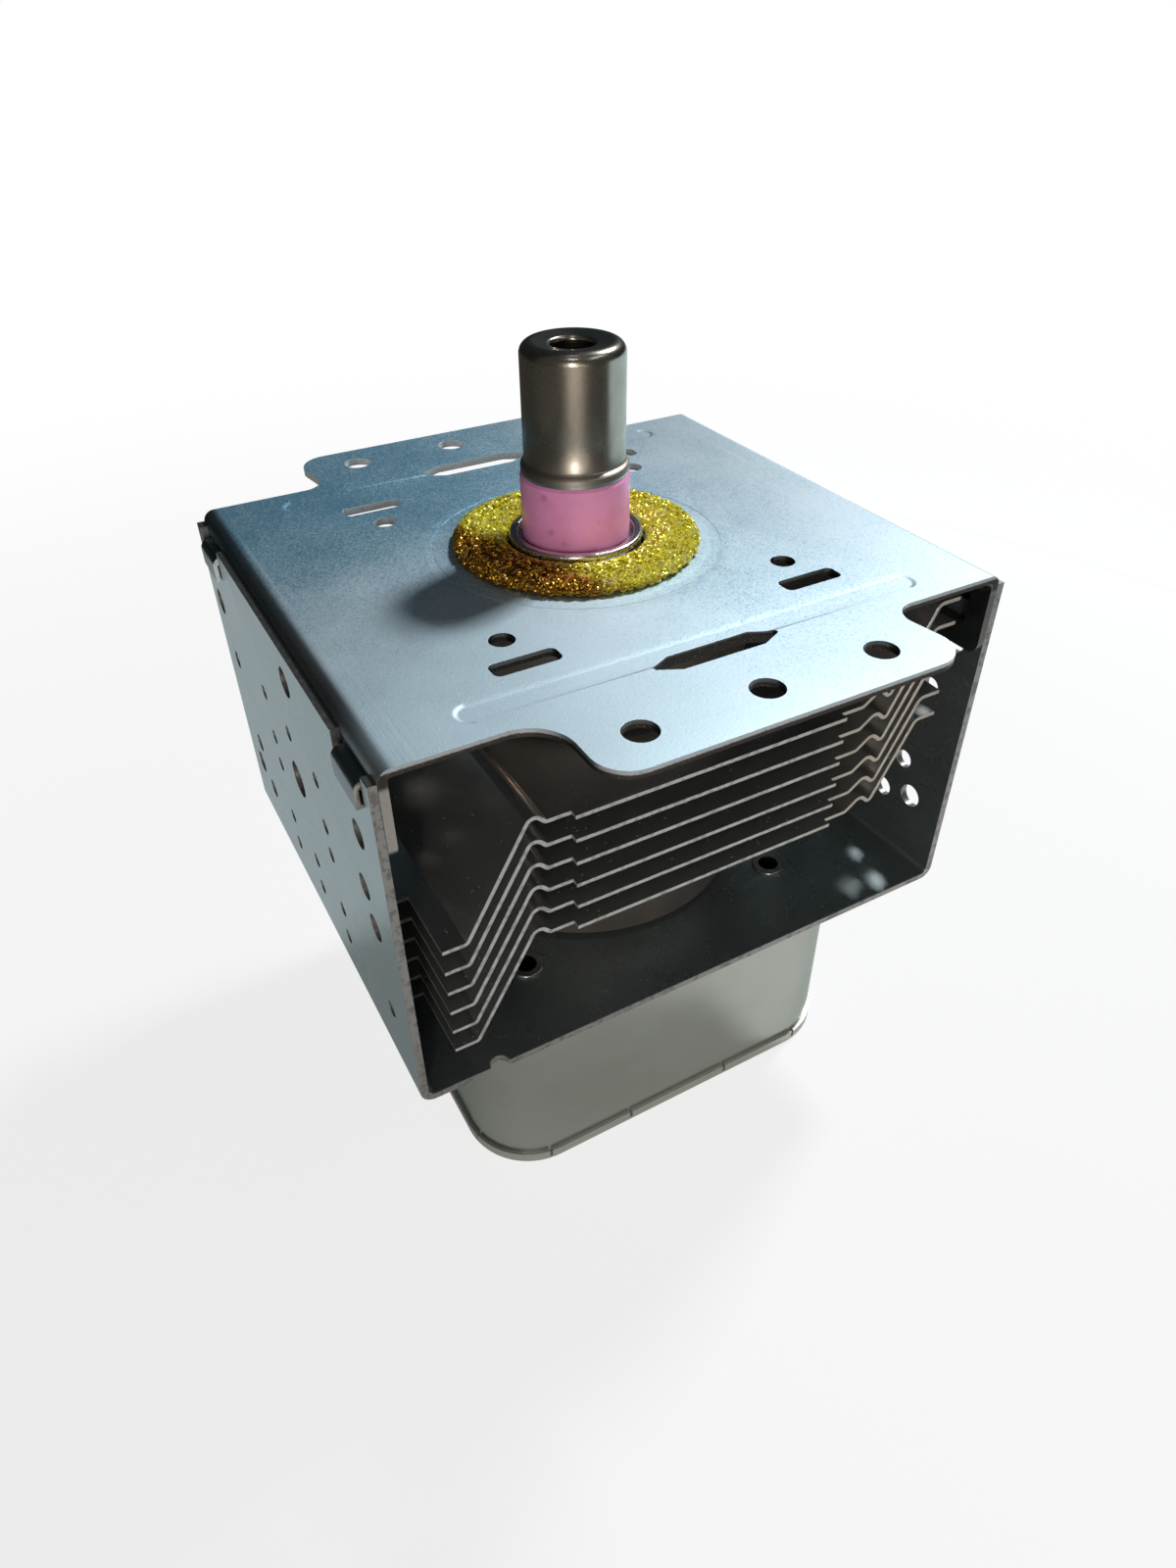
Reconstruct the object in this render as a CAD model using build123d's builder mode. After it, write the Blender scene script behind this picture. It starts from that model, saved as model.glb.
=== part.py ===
from build123d import *
from math import cos, radians, sin
import os

os.makedirs("parts", exist_ok=True)

# Magnetron. The origin is on the antenna's axis, in the upper face of the mounting plate.
# +Z runs up the antenna, -Y to the open front and +Y to the supply terminals.

# Sheet frame: a flanged plate closes a U-shaped yoke
sheet = 1.2
frame_width = 95.4
frame_depth = 80.0
wall_top_gap = 1.6
plate_bend = 0.6
yoke_bend = 1.0
flange_drop = 13.0
flange_corner = 2.0

# Mounting ears, which run past the frame at the front and the back
ear_left = 25.2
ear_right = 27.6
ear_neck = 25.5
ear_corner = 4.8
ear_left_root = 6.0
ear_right_root = 3.5
mount_hole_radius = 2.3
mount_row_spacing = 95.0
mount_hole_pitch = 17.75
mount_hole_margin = 6.4

# Pressed and pierced features of the plate
bead_length = 70.2
bead_width = 4.8
bead_y = 34.5
bead_depth = 0.8
bead_draft = 48
ear_slot_length = 18.7
ear_slot_flat = 12.4
ear_slot_width = 4.0
ear_slot_y = 36.9
ear_slot_tip = 0.9
inner_slot_length = 9.5
inner_slot_width = 3.2
inner_slot_corner = 1.0
inner_slot_x = 22.3
inner_slot_y = 27.6
pilot_radius = 1.8
pilot_x = 22.5
pilot_y = 21.2
press_ring_radius = 21.6
press_ring_width = 0.4
press_ring_depth = 0.12
gasket_seat_radius = 10.3

# Hooks lanced from the plate's flanges and curled over the yoke's walls
hook_width = 8.0
hook_y = 32.5
hook_top = 3.1
hook_reach = 0.7
hook_tip = 0.65
hook_bend = 1.3
hook_drop = 6.9
hook_notch_width = 10.5
hook_notch_depth = 6.2
hook_notch_corner = 1.0
hook_window_height = 5.8

# Magnetic stack, from the plate down to the yoke's floor
magnet_radius = 27.0
magnet_bore = 10.4
magnet_height = 13.0
magnet_chamfer = 0.8
seal_sheet = 0.6
anode_height = 28.6
anode_radius = 19.2
anode_bore = 17.5
fit_gap = 0.02

# Antenna
gasket_inner = 10.3
gasket_outer = 18.7
gasket_height = 2.1
gasket_corner = 0.5
seal_wall_radius = 9.8
seal_rim_radius = 10.0
seal_rim_width = 1.4
seal_rim_height = 0.8
seal_ledge_bore = 6.2
seal_top = 2.2
antenna_ceramic_radius = 8.0
antenna_ceramic_bore = 5.2
antenna_ceramic_height = 9.6
ceramic_edge = 0.4
collar_radius = 6.8
collar_height = 3.5
collar_flange = 7.7
collar_sheet = 0.5
cap_radius = 7.34
cap_flare = 7.85
cap_flare_height = 1.4
cap_flare_edge = 0.9
cap_flare_bend = 0.55
cap_wall = 0.5
cap_height = 17.4
cap_shoulder = 1.6
cap_dish_radius = 5.6
cap_dish_depth = 0.4
cap_hole_radius = 3.1
cap_lip = 0.9
cap_lip_bend = 0.6
exhaust_radius = 3.2
exhaust_bore = 2.4
exhaust_foot_radius = 6.0
exhaust_foot = 0.6
exhaust_straight = 7.0
exhaust_taper = 4.5
pinch_width = 8.4
pinch_thickness = 1.0
pinch_length = 2.5
antenna_lead_radius = 1.1
antenna_lead_offset = 10.0
antenna_lead_bend = 3.3
antenna_lead_turn_in = 3.2
antenna_lead_turn_up = 4.8

# Anode cavity and interaction space
pole_sheet = 1.6
pole_rim_radius = 17.9
pole_rim_inner = 15.2
pole_face_radius = 9.0
pole_hole_radius = 4.7
pole_face_depth = 8.1
pole_bend = 1.0
lead_hole_radius = 1.9
vane_count = 10
vane_thickness = 1.85
vane_height = 9.6
vane_tip_radius = 4.5
strap_height = 1.2
strap_small = 5.9
strap_large = 7.3
strap_width = 1.0
strap_side_gap = 0.15
strap_clearance = 0.6

# Cathode
filament_radius = 1.9
filament_wire = 0.275
filament_pitch = 1.1
filament_turns = 8
end_hat_radius = 3.6
end_hat_thickness = 0.7
end_hat_bore = 1.3
cathode_lead_radius = 0.75
cathode_lead_offset = 2.4
cathode_lead_bend = 1.5

# Stem at the supply end
stem_top = 2.8
stem_ceramic_radius = 8.0
stem_ceramic_bore = 5.2
stem_ceramic_height = 12.8
stem_ceramic_floor = 2.4
stem_hole = 10.6
stem_lead_stub = 1.4
terminal_sheet = 0.6
terminal_width = 5.0
terminal_start = 1.2
terminal_reach = 11.0
terminal_drop = 5.4
terminal_joint_drop = 3.7

# Filter box
box_width = 72.3
box_depth = 71.0
box_height = 36.5
box_corner = 12.0
box_wall = 0.8
box_edge = 1.0
rim_height = 2.2
rim_wall = 0.6
rim_slit = 0.5
rim_slit_inner = 10.0
rim_slit_outer = 26.0
eyelet_x = 23.8
eyelet_y = 24.9
eyelet_bore = 1.7
eyelet_wall = 0.5
eyelet_flare = 2.8
eyelet_height = 0.5
eyelet_gap = 0.05

# Choke coils
choke_x = 15.0
choke_front = 6.0
choke_radius = 3.6
choke_wire = 0.7
choke_pitch = 2.4
choke_turns = 6
core_radius = 2.7
core_overhang = 1.5

# Supply terminals on the back wall
feed_drop = 18.2
feed_width = 26.0
feed_height = 11.0
feed_lip = 1.2
feed_clearance = 0.1
feed_outer_length = 11.1
feed_ceramic_length = 4.0
feed_inner_length = 8.0
flange_plate_width = 44.0
flange_plate_height = 17.0
flange_plate_sheet = 1.0
rivet_x = 18.0
rivet_radius = 1.5
rivet_head_radius = 2.7
rivet_head_height = 1.1
blade_width = 6.3
blade_thickness = 0.8
blade_x = 6.35
blade_out = 8.0
blade_in = 3.5
blade_hole_radius = 0.9
blade_nose = 1.2

# Cooling fins
fin_sheet = 0.6
fin_count = 6
fin_first_depth = 16.7
fin_pitch = 3.93
fin_fit = 0.02
fin_collar = 2.6
fin_bend = 1.0
fin_fold = 0.9
fin_centre_half = 22.0
fin_centre_depth = 79.0
fin_wing_depth = 76.6
fin_wing_half = 41.35
fin_strip_depth = 52.6
left_hump_x = 27.5
left_hump_rise = 1.8
left_hump_start = 25.8
left_wing_x = 37.6
left_wing_drop = 15.8
right_hump_start = 26.2
right_hump_x = 28.9
right_hump_rise = 2.0
right_trough_x = 31.0
right_wing_x = 37.8
right_wing_rise = 13.5
fin_wall_gap = 0.1

# Levels and reaches that follow from these sizes
ear_reach = mount_row_spacing / 2 + mount_hole_margin
frame_half = frame_width / 2
plate_half = frame_half - sheet
upper_magnet_z = -sheet - magnet_height
anode_top = upper_magnet_z - seal_sheet
anode_bottom = anode_top - anode_height
core_z = (anode_top + anode_bottom) / 2
lower_magnet_top = anode_bottom - seal_sheet
yoke_floor = lower_magnet_top - magnet_height
yoke_bottom = yoke_floor - sheet
ceramic_foot = seal_top - seal_rim_height
collar_z = ceramic_foot + antenna_ceramic_height
cap_z = collar_z + collar_sheet
stem_rim = yoke_bottom - stem_top
stem_foot = stem_rim + seal_rim_height
stem_end = stem_foot - stem_ceramic_height
box_bottom = yoke_bottom - box_height
lid_top = box_bottom + box_wall
case_half_x = box_width / 2 - rim_wall
case_half_y = box_depth / 2 - rim_wall
case_corner = box_corner - rim_wall


def turned_section(points):
    """Draw a closed half section in (radius, height) on the current sketch."""
    with BuildLine() as outline:
        Polyline(*points, close=True)
    make_face(outline.edges())


# Mounting plate: folded flanges, two ears, pressed beads and lanced hooks
with BuildSketch(mode=Mode.PRIVATE) as ear:
    with BuildLine():
        FilletPolyline(
            (-ear_left - 2 * ear_left_root, -frame_depth / 2),
            (-ear_left, -frame_depth / 2),
            (-ear_left, -ear_reach),
            (ear_right, -ear_reach),
            (ear_neck, -frame_depth / 2),
            (ear_neck + 2 * ear_right_root, -frame_depth / 2),
            radius=[ear_left_root, ear_corner, ear_corner, ear_right_root],
        )
        Polyline(
            (ear_neck + 2 * ear_right_root, -frame_depth / 2),
            (ear_neck + 2 * ear_right_root, -frame_depth / 2 + sheet),
            (-ear_left - 2 * ear_left_root, -frame_depth / 2 + sheet),
            (-ear_left - 2 * ear_left_root, -frame_depth / 2),
        )
    make_face()

with BuildSketch(mode=Mode.PRIVATE) as ear_slot:
    with BuildLine():
        Polyline(
            (-ear_slot_flat / 2, ear_slot_width / 2),
            (ear_slot_flat / 2, ear_slot_width / 2),
            (ear_slot_length / 2, ear_slot_tip / 2),
            (ear_slot_length / 2, -ear_slot_tip / 2),
            (ear_slot_flat / 2, -ear_slot_width / 2),
            (-ear_slot_flat / 2, -ear_slot_width / 2),
            (-ear_slot_length / 2, -ear_slot_tip / 2),
            (-ear_slot_length / 2, ear_slot_tip / 2),
            close=True,
        )
    make_face()

with BuildPart() as yoke_top_plate:
    with BuildSketch(Plane.XZ):
        with BuildLine():
            FilletPolyline(
                (-plate_half, -flange_drop),
                (-plate_half, 0),
                (plate_half, 0),
                (plate_half, -flange_drop),
                radius=plate_bend + sheet,
            )
            offset(amount=sheet, side=Side.RIGHT)
        make_face()
    extrude(amount=frame_depth / 2, both=True)
    fillet(yoke_top_plate.edges().filter_by(Axis.X).group_by(Axis.Z)[0], flange_corner)

    with BuildSketch():
        with PolarLocations(0, 2):
            add(ear.sketch)
    extrude(amount=-sheet)

    # Windows in the flanges, and the hooks that came out of them
    with BuildSketch(Plane.YZ):
        with Locations((-hook_y, -hook_top), (hook_y, -hook_top)):
            Rectangle(hook_width, hook_window_height, align=(Align.CENTER, Align.MAX))
    extrude(amount=frame_half, both=True, mode=Mode.SUBTRACT)
    with BuildSketch(Plane.XZ.offset(hook_y - hook_width / 2), Plane.XZ.offset(-hook_y - hook_width / 2)):
        with BuildLine():
            FilletPolyline(
                (plate_half - sheet, -hook_top),
                (frame_half + hook_reach, -hook_top),
                (frame_half + hook_reach, -hook_drop),
                radius=hook_bend,
            )
            Polyline(
                (frame_half + hook_reach, -hook_drop),
                (frame_half + hook_reach - hook_tip, -hook_drop),
                (frame_half + hook_reach - hook_tip, -hook_top - sheet),
                (plate_half - sheet, -hook_top - sheet),
                (plate_half - sheet, -hook_top),
            )
        make_face()
        mirror(about=Plane.YZ)
    extrude(amount=hook_width)

    # Beads with drafted sides, proud underneath
    with BuildSketch(Plane.XY.offset(-sheet)):
        with Locations((0, -bead_y), (0, bead_y)):
            SlotOverall(bead_length, bead_width)
    extrude(amount=-bead_depth, taper=bead_draft)
    with BuildSketch():
        with Locations((0, -bead_y), (0, bead_y)):
            SlotOverall(bead_length, bead_width)
    extrude(amount=-bead_depth, taper=bead_draft, mode=Mode.SUBTRACT)

    # Ear slots, inner slots, pilot holes and mounting holes
    with BuildSketch():
        with PolarLocations(0, 2):
            with Locations((0, -ear_slot_y)):
                add(ear_slot.sketch)
        with GridLocations(2 * inner_slot_x, 2 * inner_slot_y, 2, 2):
            RectangleRounded(inner_slot_length, inner_slot_width, inner_slot_corner)
        with GridLocations(2 * pilot_x, 2 * pilot_y, 2, 2):
            Circle(pilot_radius)
        with GridLocations(mount_hole_pitch, mount_row_spacing, 3, 2):
            Circle(mount_hole_radius)
        Circle(gasket_seat_radius)
    extrude(amount=-sheet - bead_depth, mode=Mode.SUBTRACT)

    # Faint ring left round the gasket by the press
    with BuildSketch():
        Circle(press_ring_radius + press_ring_width / 2)
        Circle(press_ring_radius - press_ring_width / 2, mode=Mode.SUBTRACT)
    extrude(amount=-press_ring_depth, mode=Mode.SUBTRACT)

# Yoke: a folded U with pierced walls
left_wall = Plane.YZ.offset(-frame_half)
right_wall = Plane(origin=(frame_half, 0, 0), x_dir=(0, -1, 0), z_dir=(-1, 0, 0))
small_hole_columns = (-12.7, 0.0, 12.7)
small_hole_rows = (-18.7, -27.0, -32.3, -43.2, -49.0)
small_hole_radius = 1.2
centre_hole_row = -27.0
centre_hole_radius = 2.9
plain_row = -32.3
odd_holes = (
    (-5.5, -7.0, 2.2),
    (-32.0, -14.0, 2.0),
    (-30.0, -24.3, 1.9),
    (-31.8, -30.2, 2.0),
    (-32.2, -45.8, 1.3),
    (34.6, -13.2, 2.1),
    (32.2, -23.0, 1.5),
    (30.0, -38.8, 1.6),
    (33.0, -44.8, 2.0),
    (26.7, -46.8, 1.7),
)
edge_notch_x = 35.5
edge_notch_radius = 1.5

with BuildPart() as yoke_frame:
    with BuildSketch(Plane.XZ):
        with BuildLine():
            FilletPolyline(
                (-frame_half, -wall_top_gap),
                (-frame_half, yoke_bottom),
                (frame_half, yoke_bottom),
                (frame_half, -wall_top_gap),
                radius=yoke_bend + sheet,
            )
            offset(amount=sheet, side=Side.LEFT)
        make_face()
    extrude(amount=frame_depth / 2, both=True)

    with BuildSketch(left_wall, right_wall):
        for column in small_hole_columns:
            for row in small_hole_rows:
                on_axis = column == 0.0
                if on_axis and row == plain_row:
                    continue
                radius = centre_hole_radius if on_axis and row == centre_hole_row else small_hole_radius
                with Locations((column, row)):
                    Circle(radius)
        for across, height, radius in odd_holes:
            with Locations((across, height)):
                Circle(radius)
        with Locations((-hook_y, 0), (hook_y, 0)):
            RectangleRounded(hook_notch_width, 2 * hook_notch_depth, hook_notch_corner)
    extrude(amount=sheet, mode=Mode.SUBTRACT)

    with BuildSketch(Plane.XY.offset(yoke_bottom)):
        Circle(stem_hole)
        with GridLocations(2 * eyelet_x, 2 * eyelet_y, 2, 2):
            Circle(eyelet_bore + eyelet_wall + eyelet_gap)
        with Locations((-edge_notch_x, -frame_depth / 2), (edge_notch_x, frame_depth / 2)):
            Circle(edge_notch_radius)
    extrude(amount=sheet, mode=Mode.SUBTRACT)

# Gasket that seals the antenna to the waveguide
with BuildPart() as rf_gasket:
    with BuildSketch(Plane.XZ) as rf_gasket_section:
        with Locations(((gasket_inner + gasket_outer) / 2, gasket_height / 2)):
            Rectangle(gasket_outer - gasket_inner, gasket_height)
        chamfer(rf_gasket_section.vertices(), gasket_corner)
    revolve(axis=Axis.Z)

# Antenna, from the seal cup up to the cap
with BuildPart() as antenna_seal_cup:
    with BuildSketch(Plane.XZ):
        turned_section([
            (anode_radius, anode_top),
            (anode_radius, upper_magnet_z),
            (seal_wall_radius, upper_magnet_z),
            (seal_wall_radius, ceramic_foot - seal_sheet),
            (seal_rim_radius, ceramic_foot),
            (seal_rim_radius, seal_top),
            (seal_rim_radius - seal_rim_width, seal_top),
            (seal_rim_radius - seal_rim_width, ceramic_foot),
            (seal_ledge_bore, ceramic_foot),
            (seal_ledge_bore, ceramic_foot - seal_sheet),
            (seal_wall_radius - seal_sheet, ceramic_foot - seal_sheet),
            (seal_wall_radius - seal_sheet, anode_top),
        ])
    revolve(axis=Axis.Z)
    fillet(antenna_seal_cup.edges().group_by(Axis.Z)[-1], seal_rim_width / 3)

with BuildPart() as antenna_ceramic:
    with BuildSketch(Plane.XY.offset(ceramic_foot)):
        Circle(antenna_ceramic_radius)
        Circle(antenna_ceramic_bore, mode=Mode.SUBTRACT)
    extrude(amount=antenna_ceramic_height)
    outer_edges = antenna_ceramic.edges().filter_by(GeomType.CIRCLE).group_by(SortBy.RADIUS)[-1]
    chamfer(outer_edges, ceramic_edge)

with BuildPart() as antenna_seal_collar:
    with BuildSketch(Plane.XZ):
        turned_section([
            (exhaust_radius + fit_gap, collar_z),
            (collar_flange, collar_z),
            (collar_flange, cap_z),
            (collar_radius, cap_z),
            (collar_radius, cap_z + collar_height),
            (collar_radius - seal_sheet, cap_z + collar_height),
            (collar_radius - seal_sheet, cap_z),
            (exhaust_radius + fit_gap, cap_z),
        ])
    revolve(axis=Axis.Z)

with BuildPart() as antenna_cap:
    cap_top = cap_z + cap_height
    with BuildSketch(Plane.XZ):
        with BuildLine():
            FilletPolyline(
                (cap_flare, cap_z),
                (cap_flare, cap_z + cap_flare_edge),
                (cap_radius, cap_z + cap_flare_height),
                (cap_radius, cap_top),
                (cap_dish_radius, cap_top),
                (cap_hole_radius, cap_top - cap_dish_depth),
                (cap_hole_radius, cap_top - cap_dish_depth - cap_lip),
                radius=[cap_flare_bend, cap_flare_bend, cap_shoulder, cap_shoulder, cap_lip_bend],
            )
            offset(amount=cap_wall, side=Side.LEFT)
        make_face()
    revolve(axis=Axis.Z)

pinch_z = cap_z + exhaust_straight
with BuildPart() as exhaust_tube:
    with BuildSketch(Plane.XY.offset(cap_z)):
        Circle(exhaust_foot_radius)
    extrude(amount=exhaust_foot)
    with BuildSketch(Plane.XY.offset(collar_z)):
        Circle(exhaust_radius)
    extrude(amount=pinch_z - collar_z)
    with BuildSketch(Plane.XY.offset(pinch_z)):
        Circle(exhaust_radius)
    with BuildSketch(Plane.XY.offset(pinch_z + exhaust_taper)):
        SlotOverall(pinch_width, pinch_thickness)
    loft()
    extrude(exhaust_tube.faces().sort_by(Axis.Z)[-1], amount=pinch_length)
    with BuildSketch(Plane.XY.offset(collar_z)):
        Circle(exhaust_bore)
    extrude(amount=pinch_z - collar_z, mode=Mode.SUBTRACT)

vane_top = core_z + vane_height / 2
vane_bottom = core_z - vane_height / 2
with BuildPart() as antenna_lead:
    with BuildLine() as lead_path:
        FilletPolyline(
            (antenna_lead_offset, 0, vane_top),
            (antenna_lead_offset, 0, anode_top - antenna_lead_turn_in),
            (0, 0, anode_top + antenna_lead_turn_up),
            (0, 0, pinch_z),
            radius=antenna_lead_bend,
        )
    with BuildSketch(Plane.XY.offset(vane_top).shift_origin((antenna_lead_offset, 0, vane_top))):
        Circle(antenna_lead_radius)
    sweep()

# Ring magnets
with BuildPart() as upper_magnet:
    with BuildSketch(Plane.XY.offset(upper_magnet_z)):
        Circle(magnet_radius)
        Circle(magnet_bore, mode=Mode.SUBTRACT)
    extrude(amount=magnet_height)
    chamfer(upper_magnet.edges().filter_by(GeomType.CIRCLE), magnet_chamfer)

with BuildPart() as lower_magnet:
    with BuildSketch(Plane.XY.offset(yoke_floor)):
        Circle(magnet_radius)
        Circle(magnet_bore, mode=Mode.SUBTRACT)
    extrude(amount=magnet_height)
    chamfer(lower_magnet.edges().filter_by(GeomType.CIRCLE), magnet_chamfer)

# Anode shell, counterbored at both ends for the pole pieces
with BuildPart() as anode_shell:
    with BuildSketch(Plane.XY.offset(anode_bottom)):
        Circle(anode_radius)
        Circle(anode_bore, mode=Mode.SUBTRACT)
    extrude(amount=anode_height)
    with BuildSketch(Plane.XY.offset(anode_bottom), Plane.XY.offset(anode_top - pole_sheet)):
        Circle(pole_rim_radius + fit_gap)
    extrude(amount=pole_sheet, mode=Mode.SUBTRACT)


def pole_section(face, inward):
    """Draw a pole piece's half section: face is the anode's end, inward is -1 from the top and 1 from below."""
    tip = face + inward * pole_face_depth
    turned_section([
        (pole_rim_radius, face),
        (pole_rim_radius, face + inward * pole_sheet),
        (pole_rim_inner, face + inward * pole_sheet),
        (pole_face_radius, tip),
        (pole_hole_radius, tip),
        (pole_hole_radius, tip - inward * pole_sheet),
        (pole_face_radius - pole_sheet / 2, tip - inward * pole_sheet),
        (pole_rim_inner - pole_sheet / 2, face),
    ])


with BuildPart() as pole_piece_upper:
    with BuildSketch(Plane.XZ):
        pole_section(anode_top, -1)
    revolve(axis=Axis.Z)
    with BuildSketch(Plane.XY.offset(anode_top)):
        with Locations((antenna_lead_offset, 0)):
            Circle(lead_hole_radius)
    extrude(amount=-pole_face_depth, mode=Mode.SUBTRACT)

with BuildPart() as pole_piece_lower:
    with BuildSketch(Plane.XZ):
        pole_section(anode_bottom, 1)
    revolve(axis=Axis.Z)


def make_vane(angle, small_above):
    """Make one vane. small_above says whether its upper edge carries the small strap or the large one."""
    turn = radians(angle)
    side = Plane(origin=(0, 0, 0), x_dir=(cos(turn), sin(turn), 0), z_dir=(sin(turn), -cos(turn), 0))
    small_out = strap_small + strap_width + strap_side_gap
    large_out = strap_large + strap_width + strap_side_gap
    middle = (small_out + strap_large) / 2
    deep = strap_height + strap_clearance
    small_depths = (strap_height, deep) if small_above else (deep, strap_height)
    large_depths = (deep, strap_height) if small_above else (strap_height, deep)
    with BuildPart() as vane:
        with BuildSketch(side):
            with Locations((vane_tip_radius, core_z)):
                Rectangle(anode_bore, vane_height, align=(Align.MIN, Align.CENTER))
            for start, end, depths in (
                (strap_small - strap_side_gap, middle, small_depths),
                (middle, large_out, large_depths),
            ):
                with Locations((start, vane_top)):
                    Rectangle(end - start, depths[0], align=(Align.MIN, Align.MAX), mode=Mode.SUBTRACT)
                with Locations((start, vane_bottom)):
                    Rectangle(end - start, depths[1], align=(Align.MIN, Align.MIN), mode=Mode.SUBTRACT)
        extrude(amount=vane_thickness / 2, both=True)
        with BuildSketch(Plane.XY.offset(vane_bottom)):
            Circle(anode_bore)
        extrude(amount=vane_height, mode=Mode.INTERSECT)
    return vane


def make_strap(inner, base):
    """Make one strap ring."""
    with BuildPart() as strap:
        with BuildSketch(Plane.XY.offset(base)):
            Circle(inner + strap_width)
            Circle(inner, mode=Mode.SUBTRACT)
        extrude(amount=strap_height)
    return strap


vanes = [make_vane(n * 360 / vane_count, n % 2 == 0) for n in range(vane_count)]
strap_small_upper = make_strap(strap_small, vane_top - strap_height)
strap_large_upper = make_strap(strap_large, vane_top - strap_height)
strap_small_lower = make_strap(strap_small, vane_bottom)
strap_large_lower = make_strap(strap_large, vane_bottom)

# Cathode: a coiled filament between two end hats on two leads
filament_height = filament_pitch * filament_turns
hat_spacing = filament_height + 2 * filament_wire + 2 * fit_gap
hat_upper_z = core_z + hat_spacing / 2
hat_lower_z = core_z - hat_spacing / 2 - end_hat_thickness
with BuildPart() as filament:
    with BuildLine() as filament_path:
        Helix(filament_pitch, filament_height, filament_radius, center=(0, 0, core_z - filament_height / 2))
    with BuildSketch(Plane(origin=filament_path.line @ 0, z_dir=filament_path.line % 0)):
        RegularPolygon(filament_wire, 6)
    sweep(is_frenet=True)

with BuildPart() as end_hat_upper:
    with BuildSketch(Plane.XY.offset(hat_upper_z)):
        Circle(end_hat_radius)
        Circle(cathode_lead_radius + fit_gap, mode=Mode.SUBTRACT)
    extrude(amount=end_hat_thickness)

with BuildPart() as end_hat_lower:
    with BuildSketch(Plane.XY.offset(hat_lower_z)):
        Circle(end_hat_radius)
        Circle(end_hat_bore, mode=Mode.SUBTRACT)
    extrude(amount=end_hat_thickness)

lead_end = stem_end - terminal_sheet - stem_lead_stub
with BuildPart() as cathode_lead_centre:
    with BuildLine():
        FilletPolyline(
            (0, 0, hat_upper_z + end_hat_thickness),
            (0, 0, yoke_bottom),
            (cathode_lead_offset, 0, yoke_bottom - 2 * cathode_lead_offset),
            (cathode_lead_offset, 0, lead_end),
            radius=cathode_lead_bend,
        )
    with BuildSketch(Plane.XY.offset(hat_upper_z + end_hat_thickness)):
        Circle(cathode_lead_radius)
    sweep()

with BuildPart() as cathode_lead_side:
    with BuildSketch(Plane.XY.offset(lead_end)):
        with Locations((-cathode_lead_offset, 0)):
            Circle(cathode_lead_radius)
    extrude(amount=hat_lower_z - lead_end)

# Stem: the lower seal cup, its ceramic and the terminals under it
with BuildPart() as stem_seal_cup:
    with BuildSketch(Plane.XZ):
        turned_section([
            (anode_radius, anode_bottom),
            (anode_radius, lower_magnet_top),
            (seal_wall_radius, lower_magnet_top),
            (seal_wall_radius, stem_foot + seal_sheet),
            (seal_rim_radius, stem_foot),
            (seal_rim_radius, stem_rim),
            (seal_rim_radius - seal_rim_width, stem_rim),
            (seal_rim_radius - seal_rim_width, stem_foot),
            (seal_ledge_bore, stem_foot),
            (seal_ledge_bore, stem_foot + seal_sheet),
            (seal_wall_radius - seal_sheet, stem_foot + seal_sheet),
            (seal_wall_radius - seal_sheet, anode_bottom),
        ])
    revolve(axis=Axis.Z)

with BuildPart() as stem_ceramic:
    with BuildSketch(Plane.XY.offset(stem_end)):
        Circle(stem_ceramic_radius)
    extrude(amount=stem_ceramic_height)
    chamfer(stem_ceramic.edges().filter_by(GeomType.CIRCLE), ceramic_edge)
    with BuildSketch(Plane.XY.offset(stem_end + stem_ceramic_floor)):
        Circle(stem_ceramic_bore)
    extrude(amount=stem_ceramic_height, mode=Mode.SUBTRACT)
    with BuildSketch(Plane.XY.offset(stem_end)):
        with Locations((-cathode_lead_offset, 0), (cathode_lead_offset, 0)):
            Circle(cathode_lead_radius + fit_gap)
    extrude(amount=stem_ceramic_floor, mode=Mode.SUBTRACT)


def make_stem_terminal(side):
    """Make the folded strip that joins one cathode lead to its choke; side is 1 on the right and -1 on the left."""
    with BuildPart() as strip:
        with BuildSketch(Plane.XZ.offset(-terminal_width / 2)):
            with BuildLine():
                FilletPolyline(
                    (side * terminal_start, stem_end),
                    (side * terminal_reach, stem_end),
                    (side * terminal_reach, stem_end - terminal_drop),
                    radius=2 * terminal_sheet,
                )
                offset(amount=terminal_sheet, side=Side.RIGHT if side > 0 else Side.LEFT)
            make_face()
        extrude(amount=terminal_width)
        with BuildSketch(Plane.XY.offset(stem_end)):
            with Locations((side * cathode_lead_offset, 0)):
                Circle(cathode_lead_radius + fit_gap)
        extrude(amount=-terminal_sheet, mode=Mode.SUBTRACT)
    return strip


stem_terminal_1 = make_stem_terminal(-1)
stem_terminal_2 = make_stem_terminal(1)

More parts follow.
